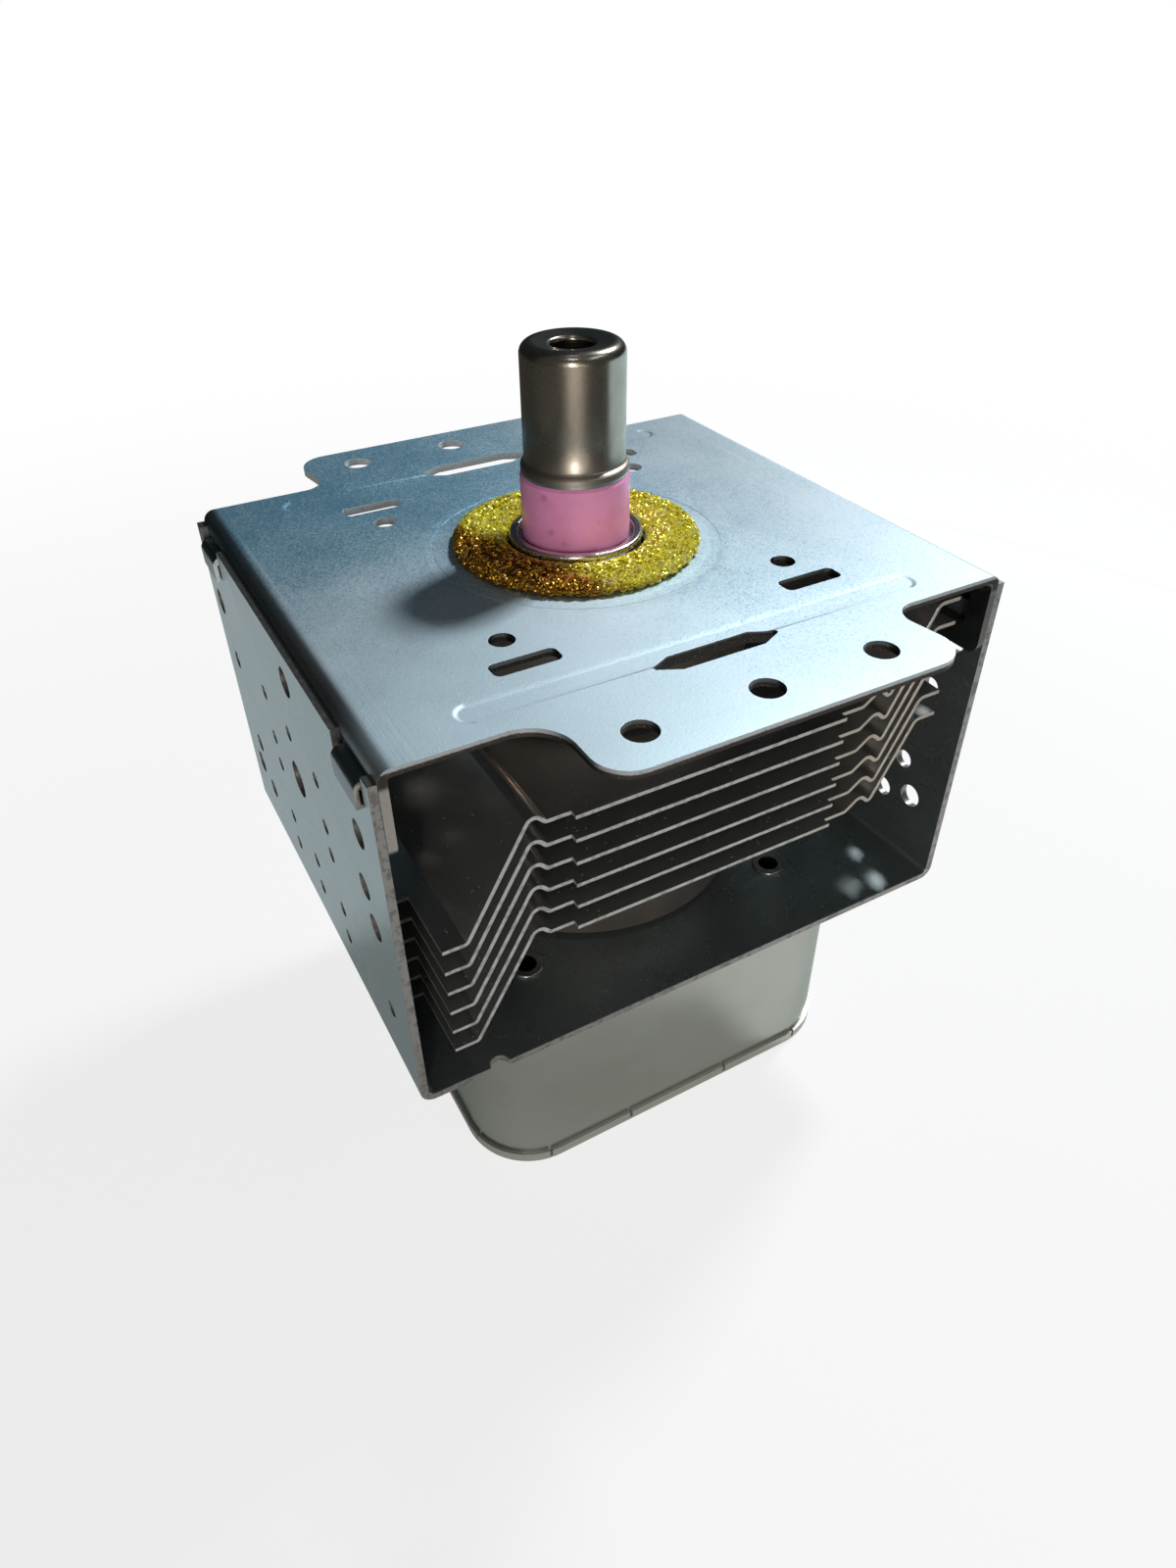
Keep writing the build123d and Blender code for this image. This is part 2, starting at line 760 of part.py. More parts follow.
# Filter box: a drawn case riveted under the yoke by its own eyelets, and a lid with a slit rim
feed_z = yoke_bottom - feed_drop
lip_width = feed_width + 2 * feed_lip
lip_height = feed_height + 2 * feed_lip
with BuildPart() as filter_box_case:
    with BuildSketch(Plane.XY.offset(lid_top)):
        RectangleRounded(2 * case_half_x, 2 * case_half_y, case_corner)
    extrude(amount=yoke_bottom - lid_top)
    fillet(filter_box_case.faces().sort_by(Axis.Z)[-1].edges(), box_edge)
    offset(amount=-box_wall, openings=filter_box_case.faces().sort_by(Axis.Z)[0])
    with GridLocations(2 * eyelet_x, 2 * eyelet_y, 2, 2):
        with Locations((0, 0, yoke_bottom - box_wall)):
            Cylinder(eyelet_bore + eyelet_wall, box_wall + sheet, align=(Align.CENTER, Align.CENTER, Align.MIN))
        with Locations((0, 0, yoke_floor)):
            Cylinder(eyelet_flare, eyelet_height, align=(Align.CENTER, Align.CENTER, Align.MIN))
    fillet(filter_box_case.edges().group_by(Axis.Z)[-1], eyelet_height / 2)
    with BuildSketch(Plane.XY.offset(yoke_bottom - box_wall)):
        Circle(stem_hole)
        with GridLocations(2 * eyelet_x, 2 * eyelet_y, 2, 2):
            Circle(eyelet_bore)
    extrude(amount=box_wall + sheet + eyelet_height, mode=Mode.SUBTRACT)
    with BuildSketch(Plane.XZ.offset(-case_half_y)):
        with Locations((0, feed_z)):
            SlotOverall(lip_width + 2 * feed_clearance, lip_height + 2 * feed_clearance)
        with Locations((-rivet_x, feed_z), (rivet_x, feed_z)):
            Circle(rivet_radius)
    extrude(amount=box_wall, mode=Mode.SUBTRACT)

with BuildPart() as filter_box_lid:
    with BuildSketch(Plane.XY.offset(box_bottom)):
        RectangleRounded(box_width, box_depth, box_corner)
    extrude(amount=rim_height)
    fillet(filter_box_lid.faces().sort_by(Axis.Z)[0].edges(), box_wall / 2)
    with BuildSketch(Plane.XY.offset(lid_top)):
        RectangleRounded(2 * case_half_x, 2 * case_half_y, case_corner)
    extrude(amount=rim_height, mode=Mode.SUBTRACT)
    with BuildSketch(Plane.XY.offset(lid_top)):
        for slit_x in (-rim_slit_outer, -rim_slit_inner, rim_slit_inner, rim_slit_outer):
            with Locations((slit_x, -case_half_y), (slit_x, case_half_y)):
                Rectangle(rim_slit, 4 * rim_wall)
            with Locations((-case_half_x, slit_x), (case_half_x, slit_x)):
                Rectangle(4 * rim_wall, rim_slit)
    extrude(amount=rim_height, mode=Mode.SUBTRACT)

# Chokes: one coil on a ferrite rod for each cathode lead
choke_z = feed_z + blade_thickness / 2 + choke_wire + fit_gap - choke_radius
choke_length = choke_pitch * choke_turns
blade_inner_end = case_half_y - box_wall - feed_ceramic_length - feed_inner_length - blade_in


with BuildPart() as choke_coil_1:
    with BuildLine() as turns:
        Helix(
            choke_pitch,
            choke_length,
            choke_radius,
            center=(-choke_x, choke_front, choke_z),
            direction=(0, 1, 0),
        )
    with BuildSketch(Plane(origin=turns.line @ 0, z_dir=turns.line % 0)):
        RegularPolygon(choke_wire, 8)
    sweep(is_frenet=True)
    tab = (-terminal_reach - choke_wire, 0, stem_end - terminal_joint_drop)
    blade = (-blade_x, blade_inner_end + choke_wire, choke_z + choke_radius)
    for start, end in ((turns.line @ 0, tab), (turns.line @ 1, blade)):
        with BuildLine() as tail:
            Line(start, end)
        with BuildSketch(Plane(origin=tail.line @ 0, z_dir=tail.line % 0)):
            Circle(choke_wire)
        sweep(path=tail.line)
        with Locations(Location(start)):
            Sphere(choke_wire)

with BuildPart() as choke_coil_2:
    mirror(choke_coil_1.part, about=Plane.YZ)


def make_core(side):
    """Make the ferrite rod of one choke."""
    with BuildPart() as core:
        with BuildSketch(Plane.XZ.offset(-choke_front + core_overhang)):
            with Locations((side * choke_x, choke_z)):
                Circle(core_radius)
        extrude(amount=-choke_length - 2 * core_overhang)
    return core


choke_core_1 = make_core(-1)
choke_core_2 = make_core(1)

# Supply terminals: two blades through a plastic and ceramic lead-through held by a riveted flange
back_inner = case_half_y - box_wall


def feed_block(width, height, start, length):
    """Make a rounded block on the back wall with a slot for each blade."""
    with BuildPart() as block:
        with BuildSketch(Plane.XZ.offset(-start)):
            with Locations((0, feed_z)):
                SlotOverall(width, height)
            with Locations((-blade_x, feed_z), (blade_x, feed_z)):
                Rectangle(
                    blade_width + 2 * feed_clearance,
                    blade_thickness + 2 * feed_clearance,
                    mode=Mode.SUBTRACT,
                )
        extrude(amount=-length)
    return block


with BuildPart() as feedthrough_flange:
    with BuildSketch(Plane.XZ.offset(-case_half_y)):
        with Locations((0, feed_z)):
            RectangleRounded(flange_plate_width, flange_plate_height, flange_plate_height / 2 - sheet)
            SlotOverall(feed_width + 2 * feed_clearance, feed_height + 2 * feed_clearance, mode=Mode.SUBTRACT)
        with Locations((-rivet_x, feed_z), (rivet_x, feed_z)):
            Circle(rivet_radius, mode=Mode.SUBTRACT)
    extrude(amount=-flange_plate_sheet)

with BuildPart() as feedthrough_insulator_outer:
    add(feed_block(feed_width, feed_height, case_half_y, feed_outer_length).part)
    add(feed_block(lip_width, lip_height, back_inner, box_wall).part)
    nose = feedthrough_insulator_outer.faces().sort_by(Axis.Y)[-1].outer_wire().edges()
    fillet(nose, feed_lip)

feedthrough_ceramic = feed_block(
    feed_width, feed_height, back_inner - feed_ceramic_length, feed_ceramic_length
)
feedthrough_insulator_inner = feed_block(
    feed_width, feed_height, back_inner - feed_ceramic_length - feed_inner_length, feed_inner_length
)

with BuildPart() as flange_rivets:
    rivet_length = flange_plate_sheet + box_wall
    with BuildSketch(Plane.XZ.offset(-back_inner)):
        with Locations((-rivet_x, feed_z), (rivet_x, feed_z)):
            Circle(rivet_radius)
    extrude(amount=-rivet_length)
    with BuildSketch(
        Plane.XZ.offset(-back_inner + rivet_head_height),
        Plane.XZ.offset(-back_inner - rivet_length),
    ):
        with Locations((-rivet_x, feed_z), (rivet_x, feed_z)):
            Circle(rivet_head_radius)
    extrude(amount=-rivet_head_height)
    fillet(flange_rivets.edges().group_by(Axis.Y)[-1], rivet_head_height / 2)


def make_blade(side):
    """Make one flat blade terminal with a pierced, bevelled end."""
    blade_outer_end = case_half_y + feed_outer_length + blade_out
    with BuildPart() as blade:
        with BuildSketch(Plane.XY.offset(feed_z - blade_thickness / 2)):
            with Locations((side * blade_x, (blade_inner_end + blade_outer_end) / 2)):
                Rectangle(blade_width, blade_outer_end - blade_inner_end)
            with Locations((side * blade_x, blade_outer_end - blade_out / 2)):
                Circle(blade_hole_radius, mode=Mode.SUBTRACT)
        extrude(amount=blade_thickness)
        nose_corners = blade.edges().filter_by(Axis.Z).group_by(Axis.Y)[-1]
        chamfer(nose_corners, blade_nose)
    return blade


blade_terminal_1 = make_blade(-1)
blade_terminal_2 = make_blade(1)


def make_fin(height):
    """Make one fin: a pressed sheet with a drawn collar, its wings folded down on the left and up on the right."""
    level = Plane(origin=(0, 0, height), x_dir=(1, 0, 0), z_dir=(0, -1, 0))
    low = -fin_sheet / 2
    with BuildPart() as fin:
        with BuildSketch(level):
            with BuildLine():
                FilletPolyline(
                    (-plate_half + fin_wall_gap, low - left_wing_drop),
                    (-left_wing_x, low - left_wing_drop),
                    (-left_hump_x, low + left_hump_rise),
                    (-left_hump_start, low),
                    (right_hump_start, low),
                    (right_hump_x, low + right_hump_rise),
                    (right_trough_x, low),
                    (right_wing_x, low + right_wing_rise),
                    (plate_half - sheet - fin_wall_gap, low + right_wing_rise),
                    radius=fin_fold,
                )
                offset(amount=fin_sheet, side=Side.LEFT)
            make_face()
        extrude(amount=fin_centre_depth / 2, both=True)
        with BuildSketch(Plane.XY.offset(height)):
            Rectangle(2 * fin_centre_half, fin_centre_depth)
            Rectangle(2 * fin_wing_half, fin_wing_depth)
            Rectangle(frame_width, fin_strip_depth)
        extrude(amount=frame_half, both=True, mode=Mode.INTERSECT)
        with BuildSketch(Plane.XY.offset(height + low)):
            Circle(anode_radius + fin_fit + fin_bend)
        extrude(amount=fin_sheet, mode=Mode.SUBTRACT)
        with BuildSketch(level):
            with BuildLine():
                FilletPolyline(
                    (anode_radius + fin_fit + fin_bend + fin_sheet, low + fin_sheet),
                    (anode_radius + fin_fit, low + fin_sheet),
                    (anode_radius + fin_fit, low - fin_collar),
                    radius=fin_bend,
                )
                offset(amount=fin_sheet, side=Side.LEFT)
            make_face()
        revolve(axis=Axis.Z)
    return fin


fins = [make_fin(-fin_first_depth - n * fin_pitch) for n in range(fin_count)]

pieces = {
    "yoke_top_plate": yoke_top_plate,
    "yoke_frame": yoke_frame,
    "rf_gasket": rf_gasket,
    "antenna_seal_cup": antenna_seal_cup,
    "antenna_ceramic": antenna_ceramic,
    "antenna_seal_collar": antenna_seal_collar,
    "antenna_cap": antenna_cap,
    "exhaust_tube": exhaust_tube,
    "antenna_lead": antenna_lead,
    "upper_magnet": upper_magnet,
    "lower_magnet": lower_magnet,
    "anode_shell": anode_shell,
    "pole_piece_upper": pole_piece_upper,
    "pole_piece_lower": pole_piece_lower,
    "strap_small_upper": strap_small_upper,
    "strap_large_upper": strap_large_upper,
    "strap_small_lower": strap_small_lower,
    "strap_large_lower": strap_large_lower,
    "filament": filament,
    "end_hat_upper": end_hat_upper,
    "end_hat_lower": end_hat_lower,
    "cathode_lead_centre": cathode_lead_centre,
    "cathode_lead_side": cathode_lead_side,
    "stem_seal_cup": stem_seal_cup,
    "stem_ceramic": stem_ceramic,
    "stem_terminal_1": stem_terminal_1,
    "stem_terminal_2": stem_terminal_2,
    "filter_box_case": filter_box_case,
    "filter_box_lid": filter_box_lid,
    "choke_coil_1": choke_coil_1,
    "choke_coil_2": choke_coil_2,
    "choke_core_1": choke_core_1,
    "choke_core_2": choke_core_2,
    "feedthrough_flange": feedthrough_flange,
    "feedthrough_insulator_outer": feedthrough_insulator_outer,
    "feedthrough_insulator_inner": feedthrough_insulator_inner,
    "feedthrough_ceramic": feedthrough_ceramic,
    "flange_rivets": flange_rivets,
    "blade_terminal_1": blade_terminal_1,
    "blade_terminal_2": blade_terminal_2,
}
for number, vane in enumerate(vanes, start=1):
    pieces[f"vane_{number}"] = vane
for number, fin in enumerate(fins, start=1):
    pieces[f"cooling_fin_{number}"] = fin

for name, piece in pieces.items():
    piece.part.label = name
    export_step(piece.part, f"parts/{name}.step")
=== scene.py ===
"""Looks of the magnetron: finishes, sheets with broken edges, the knitted gasket, and the studio round them."""

import logging
import math
import random
from collections.abc import Iterable
from dataclasses import dataclass, field
from enum import Enum

import bmesh
import bpy
from mathutils import Matrix, Vector
from mathutils.bvhtree import BVHTree


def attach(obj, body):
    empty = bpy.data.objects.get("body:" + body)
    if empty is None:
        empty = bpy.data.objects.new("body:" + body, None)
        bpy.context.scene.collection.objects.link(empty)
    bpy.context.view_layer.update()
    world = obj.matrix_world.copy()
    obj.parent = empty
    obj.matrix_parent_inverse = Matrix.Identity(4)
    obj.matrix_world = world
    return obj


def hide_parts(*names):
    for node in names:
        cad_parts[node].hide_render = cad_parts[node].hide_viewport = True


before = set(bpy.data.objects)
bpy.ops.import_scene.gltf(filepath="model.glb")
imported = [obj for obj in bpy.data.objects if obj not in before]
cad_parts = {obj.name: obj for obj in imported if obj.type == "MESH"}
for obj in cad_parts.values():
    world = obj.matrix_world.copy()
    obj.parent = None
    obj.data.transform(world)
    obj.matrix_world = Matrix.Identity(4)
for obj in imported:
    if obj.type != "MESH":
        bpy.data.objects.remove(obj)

log = logging.getLogger("magnetron")

MM = 0.001
BODY = "root"
WHITE = (1.0, 1.0, 1.0)
Triple = tuple[float, float, float]
Colour = Triple


class Axis(Enum):
    """The three axes of the part, as indices into a vector."""

    X = 0
    Y = 1
    Z = 2


class Signal:
    """A shader value that takes part in Python arithmetic by adding Math nodes."""

    def __init__(self, recipe: "Recipe", socket: bpy.types.NodeSocket) -> None:
        """Wrap a socket of a recipe's node tree."""
        self.recipe = recipe
        self.socket = socket

    def _math(self, operation: str, first: "Signal | float", second: "Signal | float" = 0.0) -> "Signal":
        """Add one Math node.

        Args:
            operation: The Math node's operation.
            first: Its first value.
            second: Its second value, where the operation takes one.

        Returns:
            The node's output.
        """
        return self.recipe.node("Math", {"operation": operation}, {0: first, 1: second})

    def __add__(self, other: "Signal | float") -> "Signal":
        """Add a value to this one."""
        return self._math("ADD", self, other)

    def __radd__(self, other: float) -> "Signal":
        """Add this value to a number."""
        return self._math("ADD", other, self)

    def __sub__(self, other: "Signal | float") -> "Signal":
        """Take a value from this one."""
        return self._math("SUBTRACT", self, other)

    def __rsub__(self, other: float) -> "Signal":
        """Take this value from a number."""
        return self._math("SUBTRACT", other, self)

    def __mul__(self, other: "Signal | float") -> "Signal":
        """Multiply this value."""
        return self._math("MULTIPLY", self, other)

    def __rmul__(self, other: float) -> "Signal":
        """Multiply a number by this value."""
        return self._math("MULTIPLY", other, self)

    def __abs__(self) -> "Signal":
        """Give this value without its sign."""
        return self._math("ABSOLUTE", self)

    def either(self, other: "Signal | float") -> "Signal":
        """Give the larger of two values."""
        return self._math("MAXIMUM", self, other)

    def rise(self, low: float, high: float) -> "Signal":
        """Go smoothly from 0 to 1.

        Args:
            low: The value at which the result is 0.
            high: The value at which the result is 1; it may lie below low.

        Returns:
            The smooth step.
        """
        settings = {"interpolation_type": "SMOOTHSTEP"}
        return self.recipe.node("MapRange", settings, {"Value": self, "From Min": low, "From Max": high})


class Recipe:
    """The node tree of one material, or of the world."""

    def __init__(self, name: str, owner: bpy.types.World | None = None) -> None:
        """Start a tree.

        Args:
            name: The new material's name, where no owner is given.
            owner: The world that owns the tree.
        """
        self.owner = owner or bpy.data.materials.new(name)
        self.owner.use_nodes = True
        self.tree = self.owner.node_tree

    def node(
        self, kind: str, settings: dict | None = None, inputs: dict | None = None, output: int | str = 0
    ) -> Signal:
        """Add a node.

        Args:
            kind: The node's type, without its ShaderNode prefix.
            settings: Properties that are set before the sockets.
            inputs: Values or links by socket name or index.
            output: Which output is wanted.

        Returns:
            The wanted output.
        """
        made = self.tree.nodes.new("ShaderNode" + kind)
        for key, value in (settings or {}).items():
            setattr(made, key, value)
        return self.fill(made, inputs or {}, output)

    def fill(self, made: bpy.types.Node, inputs: dict, output: int | str = 0) -> Signal:
        """Set or link the inputs of a node that is there.

        Args:
            made: The node.
            inputs: Values or links by socket name or index.
            output: Which output is wanted.

        Returns:
            The wanted output.
        """
        for key, value in inputs.items():
            socket = made.inputs[key]
            if isinstance(value, Signal):
                self.tree.links.new(value.socket, socket)
            elif socket.type == "RGBA" and not isinstance(value, (int, float)):
                socket.default_value = (*value, 1.0)
            else:
                socket.default_value = value
        return Signal(self, made.outputs[output])

    def place(self, stretch: Triple = WHITE) -> Signal:
        """Give Object coordinates.

        Args:
            stretch: Scale along each axis.

        Returns:
            The scaled place.
        """
        spot = self.node("TexCoord", output="Object")
        if stretch == WHITE:
            return spot
        return self.node("Mapping", None, {"Vector": spot, "Scale": stretch})

    def along(self, axis: Axis) -> Signal:
        """Give the place along one axis, in metres."""
        return self.node("SeparateXYZ", None, {0: self.place()}, axis.value)

    def radius(self) -> Signal:
        """Give the distance from the antenna's axis, in metres."""
        flat = self.place((1.0, 1.0, 0.0))
        return self.node("VectorMath", {"operation": "LENGTH"}, {0: flat}, "Value")

    def noise(self, size: float, detail: float = 2.0, stretch: Triple = WHITE, rough: float = 0.55) -> Signal:
        """Give soft noise.

        Args:
            size: The size of its blots in metres.
            detail: How many finer layers it has.
            stretch: Scale along each axis.
            rough: How strong the finer layers are.

        Returns:
            A value round 0.5.
        """
        inputs = {"Vector": self.place(stretch), "Scale": 1.0 / size, "Detail": detail, "Roughness": rough}
        return self.node("TexNoise", None, inputs)

    def cells(self, size: float, output: str = "Color") -> Signal:
        """Give a value for each cell of a cell pattern, or the distance in it.

        Args:
            size: The size of a cell in metres.
            output: Color for one value a cell, Distance for the distance.

        Returns:
            The pattern.
        """
        return self.node("TexVoronoi", None, {"Vector": self.place(), "Scale": 1.0 / size}, output)

    def blend(self, mask: "Signal | float", low: "Signal | Colour", high: "Signal | Colour") -> Signal:
        """Mix two colours by a mask."""
        return self.node("Mix", {"data_type": "RGBA"}, {0: mask, 6: low, 7: high}, 2)

    def ray(self, kind: str) -> Signal:
        """Tell rays of one kind, such as Camera or Glossy, from all others."""
        return self.node("LightPath", output=f"Is {kind} Ray")

    def surface(self, **values: "Signal | float | Colour") -> Signal:
        """Set the Principled shader's sockets, written with underscores, and give its output."""
        names = {key: key.replace("_", " ").title() for key in values}
        return self.fill(self.tree.nodes["Principled BSDF"], {names[key]: value for key, value in values.items()})

    def relief(self, height: Signal, depth: float) -> None:
        """Raise the surface's shading by a height field.

        Args:
            height: The height, from 0 to 1.
            depth: What a height of 1 is in metres.
        """
        self.surface(normal=self.node("Bump", None, {"Height": height, "Distance": depth, "Strength": 1.0}))

    def show(self, shown: Signal) -> None:
        """Send a shader to the tree's output."""
        end = next(node for node in self.tree.nodes if node.type.startswith("OUTPUT"))
        self.tree.links.new(shown.socket, end.inputs["Surface"])


@dataclass(frozen=True)
class Galvanised:
    """Zinc-coated sheet with fine crystals, soft clouds, stray bright stars and some dirt."""

    name: str
    dark: Colour
    light: Colour
    roughness: float = 0.34
    crystal: float = 0.42 * MM
    speckle: float = 1.0
    grime: float = 0.0
    glance: Colour = (0.60, 0.66, 0.70)
    metallic: float = 1.0
    depth: float = 0.016 * MM
    star: Colour = (0.95, 0.97, 0.98)
    dirt: Colour = (0.23, 0.22, 0.19)

    def make(self) -> bpy.types.Material:
        """Build the material."""
        recipe = Recipe(self.name)
        crystals = recipe.cells(self.crystal)
        grain = recipe.noise(0.3 * MM, 2.0)
        clouds = recipe.noise(14 * MM, 3.0)
        fine = (crystals - 0.5) * 0.4 + (grain - 0.5) * 1.1
        tone = self._toned(recipe, 0.5 + fine * self.speckle + (clouds - 0.5) * 0.4)
        colour = self._painted_light(recipe, recipe.blend(tone.rise(0.0, 1.0), self.dark, self.light), fine)
        stars = recipe.cells(1.9 * MM, "Distance").rise(0.075, 0.045) * recipe.noise(5 * MM, 1.0).rise(0.5, 0.62)
        colour = recipe.blend(stars * (0.7 * self.speckle), colour, self.star)
        dirt = recipe.noise(9 * MM, 5.0, rough=0.7).rise(0.5, 0.72) * self.grime
        colour = recipe.blend(dirt, colour, self.dirt)
        roughness = self.roughness + (clouds - 0.5) * 0.1 + fine * (0.06 * self.speckle) + dirt * 0.2
        height = (grain * 0.55 + crystals * 0.25) * self.speckle
        colour, roughness, height = self._formed_and_painted_shade(recipe, colour, roughness, height)
        recipe.surface(base_color=colour, metallic=self.metallic, roughness=roughness, specular_tint=self.glance)
        recipe.relief(height, self.depth)
        return recipe.owner

    def _toned(self, recipe: Recipe, tone: Signal) -> Signal:
        """Give the sheet's tone from dark to light, which is even here."""
        return tone

    def _painted_light(self, recipe: Recipe, colour: Signal, fine: Signal) -> Signal:
        """Give the colour where painted light and shade change it, which is nowhere here."""
        return colour

    def _formed_and_painted_shade(
        self, recipe: Recipe, colour: Signal, roughness: Signal, height: Signal
    ) -> tuple[Signal, Signal, Signal]:
        """Give colour, roughness and height after pressing and folding and with painted shade, none of which shows
        here.
        """
        return colour, roughness, height


@dataclass(frozen=True)
class PressedZinc(Galvanised):
    """The plate's zinc, drawn at its bends, with painted light and shade: in its tone, on the ear and at the right, at
    the near left, in its folds and below.
    """

    # painted shade that dims the ear and the right side, and painted sky-blue light for the near left corner
    painted_dim_grey: Colour = (0.54, 0.605, 0.635)
    painted_sky_sheen: Colour = (0.66, 0.90, 1.0)
    drawn: Colour = (0.86, 0.92, 0.95)
    # painted shade colours for the left fold, the underside and the flanges
    shade: Colour = (0.05, 0.055, 0.055)
    painted_flange_shade: Colour = (0.20, 0.235, 0.235)
    bend_start: float = 37 * MM
    bend_full: float = 44 * MM
    ring_height: float = 2.2

    def _toned(self, recipe: Recipe, tone: Signal) -> Signal:
        """Paint light and shade into the tone: lighter towards the near left corner and the right, darker towards the
        far left.
        """
        near, left, right = self._sides(recipe)
        return tone + (near - 0.3) * left * 0.9 + right * 0.15

    def _painted_light(self, recipe: Recipe, colour: Signal, fine: Signal) -> Signal:
        """Paint shade that dims and greys the ear and the right side, and paint sky-blue light on the near left corner.

        Args:
            recipe: The recipe that is built.
            colour: The colour so far.
            fine: The sheet's fine speckle.

        Returns:
            The changed colour.
        """
        near, left, right = self._sides(recipe)
        # painted shade: the ear and the right side dimmed towards grey, varied by the fine speckle
        painted_dim_grey = recipe.along(Axis.Y).rise(-32 * MM, -48 * MM) * 0.4 + right * 0.6
        colour = recipe.blend(painted_dim_grey + fine * 0.7, colour, self.painted_dim_grey)
        # painted light: a sky-blue tint on the near left corner
        return recipe.blend(left * near * 0.4, colour, self.painted_sky_sheen)

    def _formed_and_painted_shade(
        self, recipe: Recipe, colour: Signal, roughness: Signal, height: Signal
    ) -> tuple[Signal, Signal, Signal]:
        """Add the drawn lines at the bends, painted shade in the left fold, on the flanges and under the plate, and the
        press ring.

        Args:
            recipe: The recipe that is built.
            colour: The colour so far.
            roughness: The roughness so far.
            height: The height so far.

        Returns:
            The three of them, changed.
        """
        across, ahead, up = (recipe.along(axis) for axis in Axis)
        at_bends = across.rise(-self.bend_start, -self.bend_full) + across.rise(self.bend_start, self.bend_full) * 0.5
        lines = recipe.noise(1.0 * MM, 2.0, (1.5, 0.018, 1.0))
        colour = recipe.blend((lines.rise(0.52, 0.75) * at_bends) * 0.35, colour, self.drawn)
        # painted shade: near black in the left fold, weaker towards the front
        fold = across.rise(-43.8 * MM, -45.2 * MM) * up.rise(-3.4 * MM, -2.0 * MM)
        fold = fold * (0.85 - ahead.rise(-22 * MM, -38 * MM) * 0.4)
        colour = recipe.blend(fold, colour, self.shade)
        # painted shade: darker and smoother on the flanges below the plate's face
        inner = up.rise(-1.6 * MM, -2.6 * MM)
        colour = recipe.blend(inner * 0.85, colour, self.painted_flange_shade)
        # painted shade: the underside between the flanges near black
        under = up.rise(-0.95 * MM, -1.15 * MM) * abs(across).rise(45.2 * MM, 44.6 * MM)
        colour = recipe.blend(under * 0.85, colour, self.shade)
        spread = recipe.radius()
        ring = spread.rise(19.0 * MM, 20.4 * MM) - spread.rise(21.2 * MM, 23.0 * MM)
        return colour, roughness - inner * 0.28, height + lines * at_bends * 1.3 - ring * self.ring_height

    @staticmethod
    def _sides(recipe: Recipe) -> tuple[Signal, Signal, Signal]:
        """Give how near, how far left and how far right a place is.

        Args:
            recipe: The recipe that is built.

        Returns:
            The three masks.
        """
        near = recipe.along(Axis.Y).rise(30 * MM, -32 * MM)
        left = recipe.along(Axis.X).rise(30 * MM, -26 * MM)
        right = recipe.along(Axis.X).rise(-2 * MM, 42 * MM)
        return near, left, right


@dataclass(frozen=True)
class CutEdge:
    """Sheared edge of a sheet, with torn patches and brown specks; it may carry a painted warm reflection towards the
    right.
    """

    name: str
    burnished: Colour = (0.46, 0.49, 0.50)
    torn: Colour = (0.055, 0.047, 0.041)
    roughness: float = 0.36
    # painted warm reflection towards the right, where given
    painted_right_reflection: Colour | None = None
    speck: Colour = (0.24, 0.215, 0.185)
    metallic: float = 0.95

    def make(self) -> bpy.types.Material:
        """Build the material."""
        recipe = Recipe(self.name)
        streaks = recipe.noise(0.22 * MM, 2.0, (1.0, 1.0, 0.2))
        specks = recipe.noise(0.35 * MM, 3.0)
        torn = self._tear(recipe, specks)
        colour = self._lit(recipe, recipe.blend(torn, self.burnished, self.torn))
        colour = recipe.blend(specks.rise(0.55, 0.75) * 0.5, colour, self.speck)
        if self.painted_right_reflection is not None:
            # painted reflection: warmer towards the right
            colour = recipe.blend(recipe.along(Axis.X).rise(10 * MM, 28 * MM), colour, self.painted_right_reflection)
        recipe.relief(streaks * 0.6 + specks * 0.5, 0.04 * MM)
        recipe.surface(base_color=colour, metallic=self._sheen(recipe), roughness=self.roughness + torn * 0.14)
        return recipe.owner

    def _tear(self, recipe: Recipe, specks: Signal) -> Signal:
        """Give where the metal tore: in patches."""
        return recipe.noise(0.9 * MM, 3.0).rise(0.48, 0.62)

    def _lit(self, recipe: Recipe, colour: Signal) -> Signal:
        """Give the colour by place, which is even here."""
        return colour

    def _sheen(self, recipe: Recipe) -> "Signal | float":
        """Give how metallic the edge is."""
        return self.metallic


